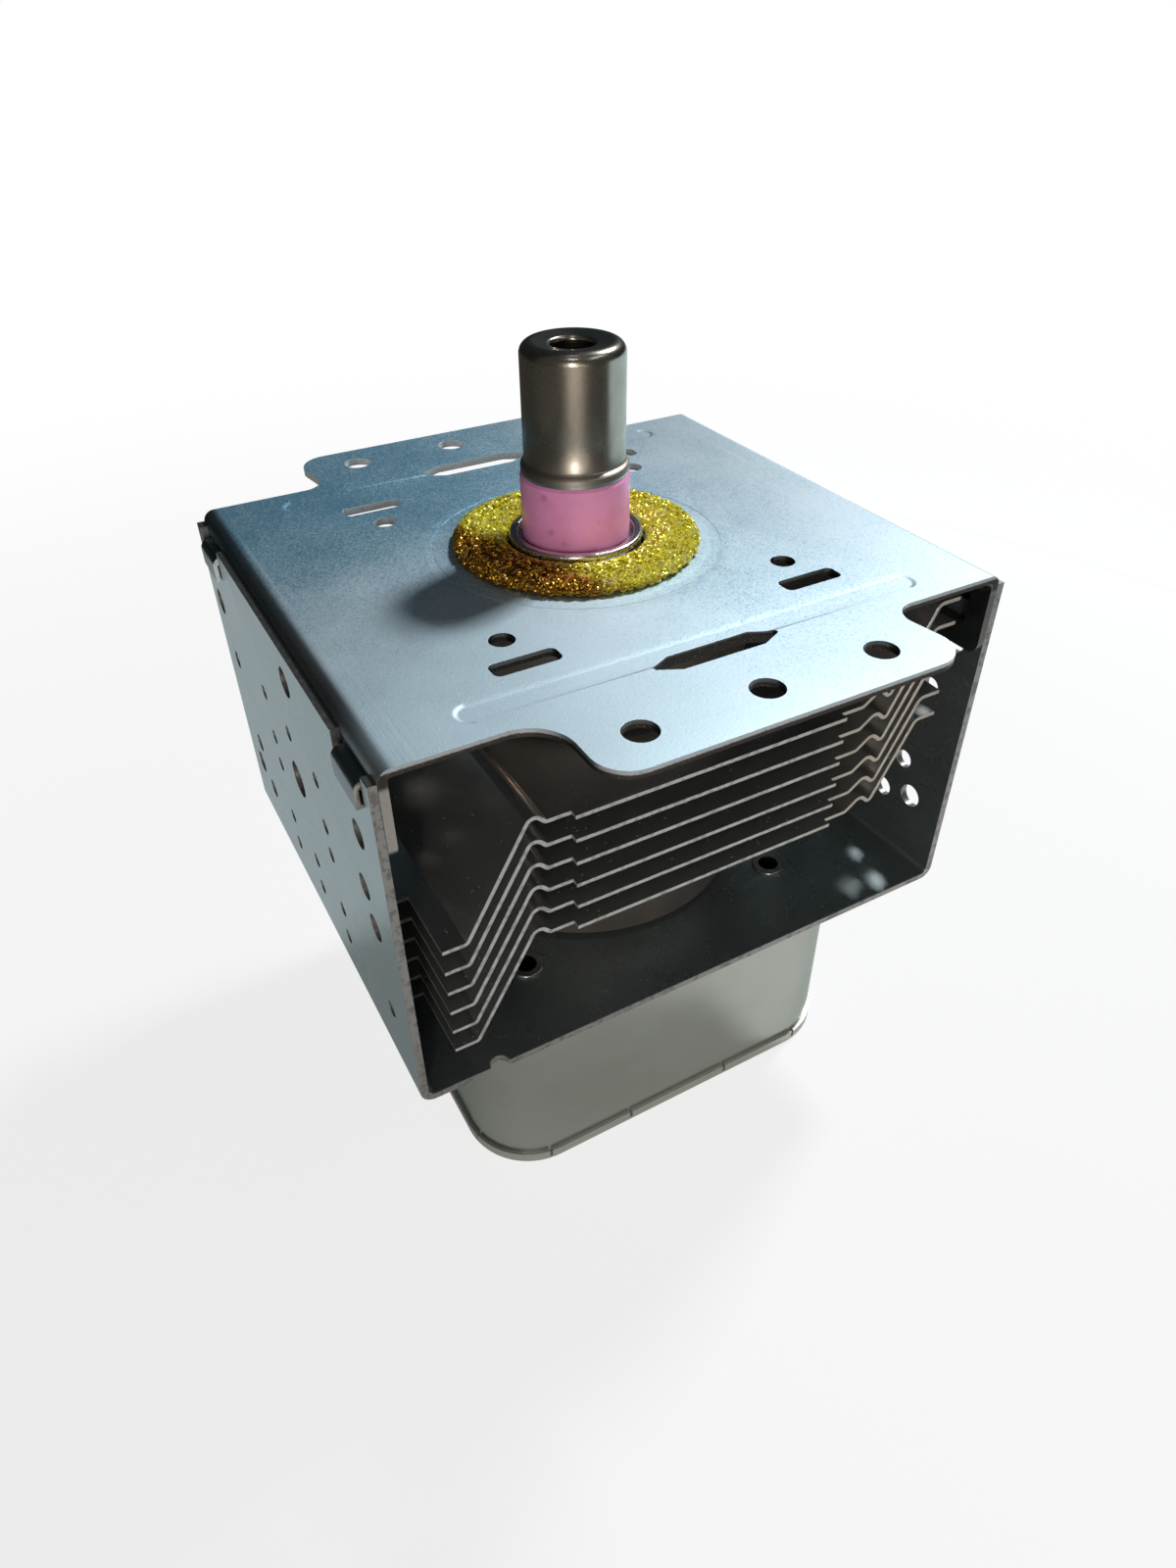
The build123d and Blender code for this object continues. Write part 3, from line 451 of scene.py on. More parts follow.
@dataclass(frozen=True)
class PlateEdge(CutEdge):
    """The plate's edge: burnished above and torn below, with painted shade in the near holes and at the right flange,
    and painted light in the far holes and at the left flange.
    """

    # painted light and shade: the left flange's edge lit, the right one's shaded, the near holes shaded and the far
    # ones lit
    painted_left_edge_light: Colour = (0.37, 0.345, 0.31)
    painted_right_edge_shade: Colour = (0.13, 0.125, 0.115)
    painted_hole_shade: Colour = (0.035, 0.035, 0.033)
    painted_far_hole_light: Colour = (0.80, 0.87, 0.90)

    def _tear(self, recipe: Recipe, specks: Signal) -> Signal:
        """Give where the metal tore: in a band under the burnished one, on the flat plate alone."""
        drop = self._drop(recipe)
        return (drop + (specks - 0.5) * (0.3 * MM)).rise(0.45 * MM, 0.7 * MM) * drop.rise(3.4 * MM, 2.2 * MM)

    def _lit(self, recipe: Recipe, colour: Signal) -> Signal:
        """Paint the flanges' edges lighter at the left and darker at the right, paint shade into the near holes, and
        paint light into the far ones.

        Args:
            recipe: The recipe that is built.
            colour: The colour so far.

        Returns:
            The changed colour.
        """
        across, away = recipe.along(Axis.X), recipe.along(Axis.Y)
        # painted light and shade: the left flange's edge lighter, the right one's darker
        flanges = recipe.blend(across.rise(-20 * MM, 20 * MM), self.painted_left_edge_light, self.painted_right_edge_shade)
        colour = recipe.blend(self._drop(recipe).rise(2.2 * MM, 3.4 * MM), colour, flanges)
        ear_row = abs(across).rise(24.5 * MM, 23.5 * MM) * away.rise(-51 * MM, -50.4 * MM)
        # painted shade in the near holes
        pierced = recipe.radius().rise(40.5 * MM, 39.5 * MM).either(ear_row) * away.rise(20 * MM, 5 * MM)
        colour = recipe.blend(pierced * 0.8, colour, self.painted_hole_shade)
        # painted light in the far holes, pale and less metallic
        return recipe.blend(self._far(recipe), colour, self.painted_far_hole_light)

    def _sheen(self, recipe: Recipe) -> Signal:
        """Make the far edges less metallic, so that their painted light shows."""
        return self.metallic - self._far(recipe) * 0.75

    @staticmethod
    def _drop(recipe: Recipe) -> Signal:
        """Give the depth under the plate's upper face."""
        return recipe.along(Axis.Z) * -1.0

    @staticmethod
    def _far(recipe: Recipe) -> Signal:
        """Give how far back a place is."""
        return recipe.along(Axis.Y).rise(8 * MM, 26 * MM)


@dataclass(frozen=True)
class RolledAluminium:
    """Bare bright fin stock with rolling lines and specks of dust."""

    name: str
    tint: Colour = (0.62, 0.63, 0.61)
    dull: Colour = (0.44, 0.43, 0.40)
    dust: Colour = (0.52, 0.47, 0.36)
    roughness: float = 0.24

    def make(self) -> bpy.types.Material:
        """Build the material."""
        recipe = Recipe(self.name)
        lines = recipe.noise(0.5 * MM, 3.0, (0.02, 1.0, 1.0))
        clouds = recipe.noise(8 * MM, 3.0)
        dust = recipe.cells(1.15 * MM, "Distance").rise(0.12, 0.06) * recipe.noise(3.1 * MM, 2.0).rise(0.5, 0.6)
        colour = recipe.blend((clouds - 0.2) * 0.5, self.tint, self.dull)
        colour = recipe.blend(dust * 0.75, colour, self.dust)
        recipe.relief(lines * 0.8 + dust, 0.01 * MM)
        roughness = self.roughness + (lines - 0.5) * 0.08 + dust * 0.4
        recipe.surface(base_color=colour, metallic=0.9 - dust * 0.7, roughness=roughness)
        return recipe.owner


@dataclass(frozen=True)
class TurnedMetal:
    """Drawn or turned metal whose fine marks run round the antenna's axis; its shading may widen softly towards its
    foot, by bump alone.
    """

    name: str
    tint: Colour
    shade: Colour
    roughness: float = 0.2
    stain: float = 0.3
    marks: float = 0.006 * MM
    foot: float | None = None
    flare_above: float = 6.5 * MM
    flare_below: float = 3.9 * MM
    flare_height: float = 2.6 * MM

    def make(self) -> bpy.types.Material:
        """Build the material."""
        recipe = Recipe(self.name)
        rings = recipe.noise(0.16 * MM, 2.0, (0.04, 0.04, 1.0))
        specks = recipe.noise(0.3 * MM, 3.0)
        stains = recipe.noise(4.5 * MM, 4.0, rough=0.62)
        tone = stains.rise(0.4, 0.7) * self.stain + (specks - 0.5) * 0.25
        colour = recipe.blend(tone, self.tint, self.shade)
        roughness = self.roughness + (specks - 0.5) * 0.1 + (stains - 0.5) * 0.1
        height = rings * 0.7 + specks * 0.4
        if self.foot is not None:
            flare = recipe.along(Axis.Z).rise(self.foot + self.flare_above, self.foot - self.flare_below)
            height = height + flare * flare * (self.flare_height / self.marks)
            roughness = roughness + flare * 0.3
        recipe.relief(height, self.marks)
        recipe.surface(base_color=colour, metallic=1.0, roughness=roughness)
        return recipe.owner


@dataclass(frozen=True)
class FiredCeramic:
    """Fired ceramic with faint mottling and a few darker spots."""

    name: str
    body: Colour
    mottle: Colour
    spot: Colour
    roughness: float = 0.42

    def make(self) -> bpy.types.Material:
        """Build the material."""
        recipe = Recipe(self.name)
        clouds = recipe.noise(3.5 * MM, 4.0)
        grain = recipe.noise(0.18 * MM, 2.0)
        spots = recipe.cells(2.6 * MM, "Distance").rise(0.30, 0.12) * recipe.noise(4 * MM, 2.0).rise(0.5, 0.64)
        colour = recipe.blend(clouds.rise(0.35, 0.75) * 0.55 + (grain - 0.5) * 0.3, self.body, self.mottle)
        colour = recipe.blend(spots * 0.45, colour, self.spot)
        recipe.relief(grain * 0.7 + clouds * 0.3, 0.01 * MM)
        recipe.surface(base_color=colour, metallic=0.0, roughness=self.roughness + (clouds - 0.5) * 0.15)
        return recipe.owner


@dataclass(frozen=True)
class KnitWire:
    """Yellow metal wire with painted shade low in the knit, painted glints, and a painted brown shadow on the side
    where the antenna's shadow falls.
    """

    name: str
    bright: Colour = (1.0, 0.94, 0.09)
    # the dark end of the tone, which also paints shade low in the knit; a painted glint colour; a painted brown shadow
    # colour
    deep_shade_and_tone: Colour = (0.60, 0.34, 0.03)
    painted_glint: Colour = (1.0, 0.97, 0.50)
    painted_shadow_brown: Colour = (0.46, 0.19, 0.025)
    roughness: float = 0.30

    def make(self) -> bpy.types.Material:
        """Build the material."""
        recipe = Recipe(self.name)
        shades = recipe.cells(0.75 * MM)
        flecks = recipe.noise(0.4 * MM, 2.0)
        # painted shade: the tone darkens lower in the knit, varied at random by cells and flecks
        lift = recipe.along(Axis.Z).rise(0.5 * MM, 2.0 * MM)
        tone = (flecks * 0.5 + shades * 0.7 + lift * 0.4).rise(0.25, 0.85)
        colour = recipe.blend(tone, self.deep_shade_and_tone, self.bright)
        # painted glints: bright cells on the wire
        colour = recipe.blend(shades.rise(0.62, 0.78) * 0.6, colour, self.painted_glint)
        # painted shadow: brown and more metallic on the side where the antenna's shadow falls
        shadow_side = (recipe.along(Axis.X) * -0.94 - recipe.along(Axis.Y) * 0.34).rise(8 * MM, 12.5 * MM)
        colour = recipe.blend(shadow_side * 0.85, colour, self.painted_shadow_brown)
        recipe.relief(flecks, 0.03 * MM)
        roughness = self.roughness + (flecks - 0.5) * 0.2
        recipe.surface(base_color=colour, metallic=0.38 + shadow_side * 0.55, roughness=roughness)
        return recipe.owner


@dataclass(frozen=True)
class PlainGrain:
    """A plain material with a fine grain: ferrite, copper, iron, plastic or tinned brass."""

    name: str
    tint: Colour
    shade: Colour
    metallic: float
    roughness: float
    grain: float = 0.4 * MM
    depth: float = 0.015 * MM

    def make(self) -> bpy.types.Material:
        """Build the material."""
        recipe = Recipe(self.name)
        fine = recipe.noise(self.grain, 3.0)
        broad = recipe.noise(self.grain * 14, 3.0)
        tone = (fine - 0.5) * 0.6 + broad.rise(0.35, 0.7) * 0.6
        colour = recipe.blend(tone, self.tint, self.shade)
        recipe.relief(fine, self.depth)
        recipe.surface(base_color=colour, metallic=self.metallic, roughness=self.roughness + (broad - 0.5) * 0.16)
        return recipe.owner


Finish = Galvanised | CutEdge | RolledAluminium | TurnedMetal | FiredCeramic | KnitWire | PlainGrain


class Finishes:
    """The object's finishes, each built once."""

    plate = PressedZinc("plate_zinc", (0.16, 0.42, 0.58), (0.74, 0.86, 0.92), 0.57, 0.34 * MM, speckle=1.2)
    yoke = Galvanised(
        "yoke_zinc", (0.27, 0.32, 0.33), (0.40, 0.46, 0.47), 0.27, 0.42 * MM,
        speckle=0.16, grime=0.03, glance=(0.78, 0.90, 0.93), metallic=0.86,
    )
    box = Galvanised(
        "box_zinc", (0.40, 0.39, 0.33), (0.55, 0.59, 0.56), 0.24, 0.35 * MM,
        speckle=0.12, grime=0.05, glance=(0.60, 0.66, 0.64),
    )
    lid = Galvanised(
        "lid_zinc", (0.46, 0.45, 0.39), (0.58, 0.60, 0.57), 0.36, 0.35 * MM,
        speckle=0.12, grime=0.05, glance=(0.60, 0.66, 0.64), metallic=0.7,
    )
    plate_edge = PlateEdge("plate_edge")
    sheet_edge = CutEdge("sheet_edge", (0.29, 0.285, 0.27), (0.20, 0.19, 0.175))
    fin = RolledAluminium("fin_stock")
    fin_edge = CutEdge("fin_edge", (0.54, 0.55, 0.54), (0.40, 0.395, 0.375), 0.5, painted_right_reflection=(0.50, 0.455, 0.39))
    cap = TurnedMetal(
        "cap_steel", (0.44, 0.40, 0.34), (0.29, 0.26, 0.215), 0.25, marks=0.003 * MM, foot=11.5 * MM
    )
    seal = TurnedMetal("seal_nickel", (0.78, 0.76, 0.72), (0.62, 0.59, 0.54), 0.27)
    pink = FiredCeramic("pink_ceramic", (0.90, 0.35, 0.65), (0.76, 0.26, 0.52), (0.40, 0.12, 0.24))
    feed_ceramic = FiredCeramic("feed_ceramic", (0.78, 0.76, 0.70), (0.66, 0.63, 0.56), (0.40, 0.36, 0.30), 0.5)
    wire = KnitWire("gasket_wire")
    ferrite = PlainGrain("ferrite", (0.085, 0.078, 0.07), (0.055, 0.051, 0.047), 0.0, 0.30, 0.5 * MM, 0.02 * MM)
    copper = PlainGrain("copper", (0.80, 0.42, 0.28), (0.58, 0.28, 0.19), 1.0, 0.28)
    aged_copper = PlainGrain("aged_copper", (0.20, 0.11, 0.075), (0.11, 0.06, 0.045), 1.0, 0.4)
    iron = PlainGrain("pole_iron", (0.46, 0.46, 0.46), (0.33, 0.33, 0.33), 1.0, 0.34)
    hot_metal = PlainGrain("cathode_metal", (0.40, 0.40, 0.42), (0.26, 0.26, 0.28), 1.0, 0.4)
    flange = PlainGrain("flange_plating", (0.62, 0.64, 0.63), (0.46, 0.48, 0.47), 1.0, 0.3)
    plastic = PlainGrain("moulded_plastic", (0.035, 0.035, 0.037), (0.06, 0.06, 0.06), 0.0, 0.42, 0.35 * MM)
    tinned = PlainGrain("tinned_blade", (0.74, 0.72, 0.66), (0.60, 0.56, 0.47), 1.0, 0.26)

    def __init__(self) -> None:
        """Start with nothing built."""
        self._built: dict[str, bpy.types.Material] = {}

    def get(self, finish: Finish) -> bpy.types.Material:
        """Give a finish's material, built on its first use.

        Args:
            finish: The finish.

        Returns:
            Its material.
        """
        if finish.name not in self._built:
            self._built[finish.name] = finish.make()
        return self._built[finish.name]

    def dress(self, nodes: Iterable[str], finish: Finish) -> None:
        """Give CAD nodes a finish.

        Args:
            nodes: The nodes' names.
            finish: Their finish.
        """
        material = self.get(finish)
        for node in nodes:
            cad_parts[node].material_slots[0].material = material
            log.info("dressed %s with %s", node, material.name)


def finish_mesh(
    shape: bmesh.types.BMesh, name: str, materials: Iterable[bpy.types.Material], sharp: float = 30.0
) -> bpy.types.Object:
    """Turn a bmesh into an object at the origin.

    Args:
        shape: The bmesh, which is freed.
        name: The object's name.
        materials: The materials of its slots, in order.
        sharp: Edges that turn by more degrees than this stay sharp.

    Returns:
        The object, linked to the scene.
    """
    mesh = bpy.data.meshes.new(name)
    for face in shape.faces:
        face.smooth = True
    shape.to_mesh(mesh)
    shape.free()
    mesh.set_sharp_from_angle(angle=math.radians(sharp))
    for material in materials:
        mesh.materials.append(material)
    made = bpy.data.objects.new(name, mesh)
    bpy.context.scene.collection.objects.link(made)
    log.info("%s: %d faces", name, len(mesh.polygons))
    return made


@dataclass
class SheetPiece:
    """A sheet-metal node redone with broken edges and its own finish on every sheared face."""

    node: str
    slot: str
    face: Finish
    edge: Finish
    sheet: float = 1.2 * MM
    chamfer: float = 0.12 * MM
    merge: float = 0.002 * MM
    flat_turn: float = math.radians(0.5)
    broken_turn: float = math.radians(40)
    sharp: float = 30.0

    def build(self, finishes: Finishes) -> None:
        """Build the piece in place of its node.

        Args:
            finishes: Where the materials come from.
        """
        shape = self._merged()
        self._soften(shape)
        self._mark_sheared(shape)
        bmesh.ops.dissolve_limit(
            shape, angle_limit=self.flat_turn, verts=shape.verts, edges=shape.edges, delimit={"MATERIAL"}
        )
        self._break_edges(shape)
        surfaces = (finishes.get(self.face), finishes.get(self.edge))
        piece = finish_mesh(shape, self.node + "_sheet", surfaces, self.sharp)
        flatten = piece.modifiers.new("flat_faces", "WEIGHTED_NORMAL")
        flatten.weight = 100
        flatten.keep_sharp = True
        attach(piece, BODY)
        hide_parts(self.node)

    def _merged(self) -> bmesh.types.BMesh:
        """Copy the node's triangles with their shared corners joined.

        Returns:
            The joined bmesh.
        """
        shape = bmesh.new()
        shape.from_mesh(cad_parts[self.node].data)
        bmesh.ops.remove_doubles(shape, verts=shape.verts, dist=self.merge)
        return shape

    def _soften(self, shape: bmesh.types.BMesh) -> None:
        """Leave the sheet as it is, because only a pressed one is softened."""

    def _drafted(self, face: bmesh.types.BMFace) -> bool:
        """Tell whether a face is a pressed wall, which a plain sheet has none of."""
        return False

    def _mark_sheared(self, shape: bmesh.types.BMesh) -> None:
        """Give the second slot to each face that has no sheet-thick backing, and the first to all others.

        Args:
            shape: The sheet's bmesh.
        """
        skin, reach, facing, nearest = 0.01 * MM, 1.7 * self.sheet, -0.6, 0.35 * self.sheet
        step_height, step_slope, step_top = 0.2 * MM, 0.3, -0.2 * MM
        tree = BVHTree.FromBMesh(shape)
        for face in shape.faces:
            inward = -face.normal
            start = face.calc_center_median() + inward * skin
            _, back, _, distance = tree.ray_cast(start, inward, reach)
            backed = back is not None and back.dot(face.normal) < facing and distance > nearest
            heights = [vert.co.z for vert in face.verts]
            shallow = max(heights) - min(heights) < step_height and abs(face.normal.z) < step_slope
            shallow = shallow and max(heights) > step_top
            face.material_index = 0 if backed or self._drafted(face) or shallow else 1

    def _break_edges(self, shape: bmesh.types.BMesh) -> None:
        """Chamfer the edges where a sheared face meets the sheet's own faces, with the sheet's finish.

        Args:
            shape: The sheet's bmesh.
        """
        edges = [
            edge
            for edge in shape.edges
            if len(edge.link_faces) == 2
            and edge.link_faces[0].material_index != edge.link_faces[1].material_index
            and edge.calc_face_angle(0.0) > self.broken_turn
        ]
        bmesh.ops.bevel(
            shape,
            geom=edges,
            offset=self.chamfer,
            offset_type="OFFSET",
            segments=1,
            profile=0.5,
            affect="EDGES",
            material=0,
            clamp_overlap=True,
            loop_slide=False,
        )


@dataclass
class PressedSheet(SheetPiece):
    """The plate, whose beads and press ring show softer above than they are stamped."""

    sharp: float = 43.5
    bead_reach: float = 35.3 * MM
    bead_row: float = 34.5 * MM
    bead_half: float = 2.5 * MM
    bead_kept: float = 0.36
    ring_inner: float = 21.2 * MM
    ring_outer: float = 22.0 * MM
    ring_floor: float = -0.045 * MM
    deepest: float = -0.85 * MM
    shallowest: float = -0.02 * MM
    wall_slopes: tuple[float, float] = (0.3, 0.95)

    def _soften(self, shape: bmesh.types.BMesh) -> None:
        """Make the upper side of the press ring and of the two beads shallower.

        Args:
            shape: The plate's bmesh.
        """
        for vert in shape.verts:
            if self.deepest < vert.co.z < self.shallowest:
                in_row = abs(abs(vert.co.y) - self.bead_row) < self.bead_half
                if in_row and abs(vert.co.x) < self.bead_reach:
                    vert.co.z *= self.bead_kept
                elif self.ring_inner < vert.co.xy.length < self.ring_outer:
                    vert.co.z = self.ring_floor

    def _drafted(self, face: bmesh.types.BMFace) -> bool:
        """Tell whether a face is a pressed wall, by its slope."""
        return self.wall_slopes[0] < abs(face.normal.z) < self.wall_slopes[1]


@dataclass
class KnitGasket:
    """The gasket as a ring of bent wire stitches over a darker core."""

    inner: float = 10.3 * MM
    outer: float = 18.7 * MM
    height: float = 2.1 * MM
    wire: float = 0.17 * MM
    loop: float = 0.46 * MM
    loop_turn: float = math.radians(230)
    stitches: int = 2800
    seed: int = 11
    core_sides: int = 14
    core_steps: int = 120
    core_side_gap: float = 0.35 * MM
    core_top_gap: float = 0.3 * MM
    core_lift: float = 0.05 * MM
    skin_side_gap: float = 0.5 * MM
    skin_top_gap: float = 0.34 * MM
    slants: tuple[float, float] = (-0.16, 1.16)
    scales: tuple[float, float] = (0.75, 1.1)
    tilt: float = 0.45
    lean_share: float = 0.6
    width_power: float = 0.75
    height_power: float = 0.6
    sharp: float = 60.0

    @property
    def middle(self) -> float:
        """The radius of the ring's middle."""
        return (self.inner + self.outer) / 2

    @property
    def half_width(self) -> float:
        """Half of the ring's width."""
        return (self.outer - self.inner) / 2

    def build(self, finishes: Finishes) -> None:
        """Build the gasket in place of its node.

        Args:
            finishes: Where the material comes from.
        """
        knit = self._core()
        stitch = self._stitch()
        dice = random.Random(self.seed)
        for _ in range(self.stitches):
            copy = stitch.copy()
            copy.transform(self._pose(dice))
            knit.from_mesh(copy)
            bpy.data.meshes.remove(copy)
        bpy.data.meshes.remove(stitch)
        piece = finish_mesh(knit, "gasket_knit", (finishes.get(finishes.wire),), self.sharp)
        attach(piece, BODY)
        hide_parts("rf_gasket")

    def _core(self) -> bmesh.types.BMesh:
        """Spin a flattened oval into the ring under the stitches.

        Returns:
            The ring.
        """
        core = bmesh.new()
        oval = bmesh.ops.create_circle(core, segments=self.core_sides, radius=1.0)["verts"]
        tall = self.height / 2 - self.core_top_gap
        bmesh.ops.scale(core, vec=(self.half_width - self.core_side_gap, tall, 1.0), verts=oval)
        self._stand(core, (self.middle, 0.0, tall + self.core_lift))
        self._spin(core, math.tau, self.core_steps, use_merge=True)
        bmesh.ops.remove_doubles(core, verts=core.verts, dist=0.005 * MM)
        bmesh.ops.recalc_face_normals(core, faces=core.faces)
        return core

    def _stitch(self) -> bpy.types.Mesh:
        """Spin a wire's section into one open loop.

        Returns:
            The loop's mesh, flat round the origin.
        """
        shape = bmesh.new()
        bmesh.ops.create_circle(shape, segments=4, radius=self.wire)
        self._stand(shape, (self.loop, 0.0, 0.0))
        self._spin(shape, self.loop_turn, 6)
        bmesh.ops.recalc_face_normals(shape, faces=shape.faces)
        mesh = bpy.data.meshes.new("stitch")
        shape.to_mesh(mesh)
        shape.free()
        return mesh

    @staticmethod
    def _stand(shape: bmesh.types.BMesh, spot: Triple) -> None:
        """Stand a flat section upright and move it to its spot."""
        stand = Matrix.Translation(spot) @ Matrix.Rotation(math.radians(90), 4, "X")
        bmesh.ops.transform(shape, matrix=stand, verts=shape.verts)

    @staticmethod
    def _spin(shape: bmesh.types.BMesh, angle: float, steps: int, use_merge: bool = False) -> None:
        """Spin a standing section round the vertical axis.

        Args:
            shape: The section's bmesh.
            angle: How far it turns.
            steps: In how many steps.
            use_merge: Whether the last step joins the first.
        """
        bmesh.ops.spin(
            shape,
            geom=shape.verts[:] + shape.edges[:],
            cent=(0, 0, 0),
            axis=(0, 0, 1),
            angle=angle,
            steps=steps,
            use_merge=use_merge,
        )

    def _pose(self, dice: random.Random) -> Matrix:
        """Pick where one stitch lies on the ring's skin.

        Args:
            dice: The seeded source of chance.

        Returns:
            The stitch's place and turn.
        """
        turn = dice.uniform(0.0, math.tau)
        slant = dice.uniform(*self.slants) * math.pi
        scale = dice.uniform(*self.scales)
        spin = dice.uniform(0.0, math.tau)
        tilt = dice.uniform(-self.tilt, self.tilt)
        cosine, sine = math.cos(slant), math.sin(slant)
        wide, tall = self.half_width - self.skin_side_gap, self.height / 2 - self.skin_top_gap
        reach = self.middle + wide * math.copysign(abs(cosine) ** self.width_power, cosine)
        lift = self.height / 2 + tall * math.copysign(abs(sine) ** self.height_power, sine)
        lean = (slant - math.pi / 2) * self.lean_share
        return (
            Matrix.Rotation(turn, 4, "Z")
            @ Matrix.Translation((reach, 0.0, lift))
            @ Matrix.Rotation(-lean, 4, "Y")
            @ Matrix.Rotation(spin, 4, "Z")
            @ Matrix.Rotation(tilt, 4, "X")
            @ Matrix.Scale(scale, 4)
        )


@dataclass
class SteelFrame:
    """The mounting plate and the yoke that it closes."""

    def build(self, finishes: Finishes) -> None:
        """Build both sheets.

        Args:
            finishes: Where the materials come from.
        """
        PressedSheet("yoke_top_plate", "galvanised_plate", finishes.plate, finishes.plate_edge).build(finishes)
        SheetPiece("yoke_frame", "galvanised_yoke", finishes.yoke, finishes.sheet_edge).build(finishes)


@dataclass
class CoolingPack:
    """The pressed fins."""

    count: int = 6
    sheet: float = 0.6 * MM
    chamfer: float = 0.09 * MM

    def build(self, finishes: Finishes) -> None:
        """Build every fin.

        Args:
            finishes: Where the materials come from.
        """
        for number in range(1, self.count + 1):
            node = f"cooling_fin_{number}"
            SheetPiece(node, "fin_aluminium", finishes.fin, finishes.fin_edge, self.sheet, self.chamfer).build(finishes)


@dataclass
class Antenna:
    """Everything of the antenna above the plate."""

    gasket: KnitGasket = field(default_factory=KnitGasket)

    def build(self, finishes: Finishes) -> None:
        """Dress the antenna's nodes and build its gasket.

        Args:
            finishes: Where the materials come from.
        """
        finishes.dress(["antenna_cap"], finishes.cap)
        finishes.dress(["antenna_seal_cup"], finishes.seal)
        finishes.dress(["antenna_seal_collar"], finishes.iron)
        finishes.dress(["antenna_ceramic"], finishes.pink)
        finishes.dress(["exhaust_tube", "antenna_lead"], finishes.aged_copper)
        self.gasket.build(finishes)


@dataclass
class TubeInside:
    """Magnets, anode, pole pieces, cathode and stem."""

    vanes: int = 10

    def build(self, finishes: Finishes) -> None:
        """Dress the tube's nodes.

        Args:
            finishes: Where the materials come from.
        """
        finishes.dress(["upper_magnet", "lower_magnet"], finishes.ferrite)
        straps = [f"strap_{size}_{end}" for end in ("upper", "lower") for size in ("small", "large")]
        vanes = [f"vane_{number}" for number in range(1, self.vanes + 1)]
        finishes.dress(["anode_shell"] + straps + vanes, finishes.copper)
        finishes.dress(["pole_piece_upper", "pole_piece_lower"], finishes.iron)
        cathode = ["filament", "end_hat_upper", "end_hat_lower", "cathode_lead_centre", "cathode_lead_side"]
        finishes.dress(cathode, finishes.hot_metal)
        finishes.dress(["stem_seal_cup", "stem_terminal_1", "stem_terminal_2"], finishes.seal)
        finishes.dress(["stem_ceramic"], finishes.pink)


@dataclass
class FilterBox:
    """The drawn box under the yoke, its lid, the chokes and the lead-through."""

    def build(self, finishes: Finishes) -> None:
        """Dress the box's nodes.

        Args:
            finishes: Where the materials come from.
        """
        finishes.dress(["choke_coil_1", "choke_coil_2"], finishes.copper)
        finishes.dress(["choke_core_1", "choke_core_2"], finishes.ferrite)
        finishes.dress(["feedthrough_flange", "flange_rivets"], finishes.flange)
        finishes.dress(["feedthrough_insulator_outer", "feedthrough_insulator_inner"], finishes.plastic)
        finishes.dress(["feedthrough_ceramic"], finishes.feed_ceramic)
        finishes.dress(["blade_terminal_1", "blade_terminal_2"], finishes.tinned)
        finishes.dress(["filter_box_case"], finishes.box)
        finishes.dress(["filter_box_lid"], finishes.lid)


@dataclass(frozen=True)
class Card:
    """A part of a dome that the camera doesn't see and that casts no shadow; bearings run clockwise from +Y, all angles
    in degrees.
    """

    name: str
    start: float
    end: float
    low: float
    high: float
    glow: Colour
    reach: float = 1.6
    rise_steps: int = 8
    turn_steps: int = 32

    def build(self) -> None:
        """Stand the card, unseen by the camera and without a shadow."""
        dome = bmesh.new()
        last = None
        for step in range(self.rise_steps + 1):
            rise = math.radians(self.low + (self.high - self.low) * step / self.rise_steps)
            vert = dome.verts.new((0.0, self.reach * math.cos(rise), self.reach * math.sin(rise)))
            if last is not None:
                dome.edges.new((last, vert))
            last = vert
        start = Matrix.Rotation(math.radians(-self.start), 3, "Z")
        bmesh.ops.rotate(dome, cent=(0, 0, 0), matrix=start, verts=dome.verts)
        bmesh.ops.spin(
            dome,
            geom=dome.verts[:] + dome.edges[:],
            cent=(0, 0, 0),
            axis=(0, 0, 1),
            angle=math.radians(self.start - self.end),
            steps=self.turn_steps,
        )
        recipe = Recipe(self.name)
        recipe.show(recipe.node("Emission", None, {"Color": self.glow, "Strength": 1.0}))
        card = finish_mesh(dome, self.name, (recipe.owner,))
        card.visible_camera = False
        card.visible_shadow = False


@dataclass(frozen=True)
class Lamp:
    """An area lamp that faces the object; its bearing runs clockwise from +Y, and its size is in metres."""

    name: str
    bearing: float
    rise: float
    reach: float
    width: float
    height: float
    watts: float
    tint: Colour

    def build(self) -> None:
        """Hang the lamp."""
        data = bpy.data.lights.new(self.name, "AREA")
        data.shape = "RECTANGLE"
        data.size, data.size_y = self.width, self.height
        data.energy = self.watts
        data.color = self.tint
        lamp = bpy.data.objects.new(self.name, data)
        turn, lift = math.radians(self.bearing), math.radians(self.rise)
        spot = Vector((math.sin(turn) * math.cos(lift), math.cos(turn) * math.cos(lift), math.sin(lift))) * self.reach
        lamp.matrix_world = Matrix.Translation(spot) @ spot.to_track_quat("Z", "Y").to_matrix().to_4x4()
        bpy.context.scene.collection.objects.link(lamp)


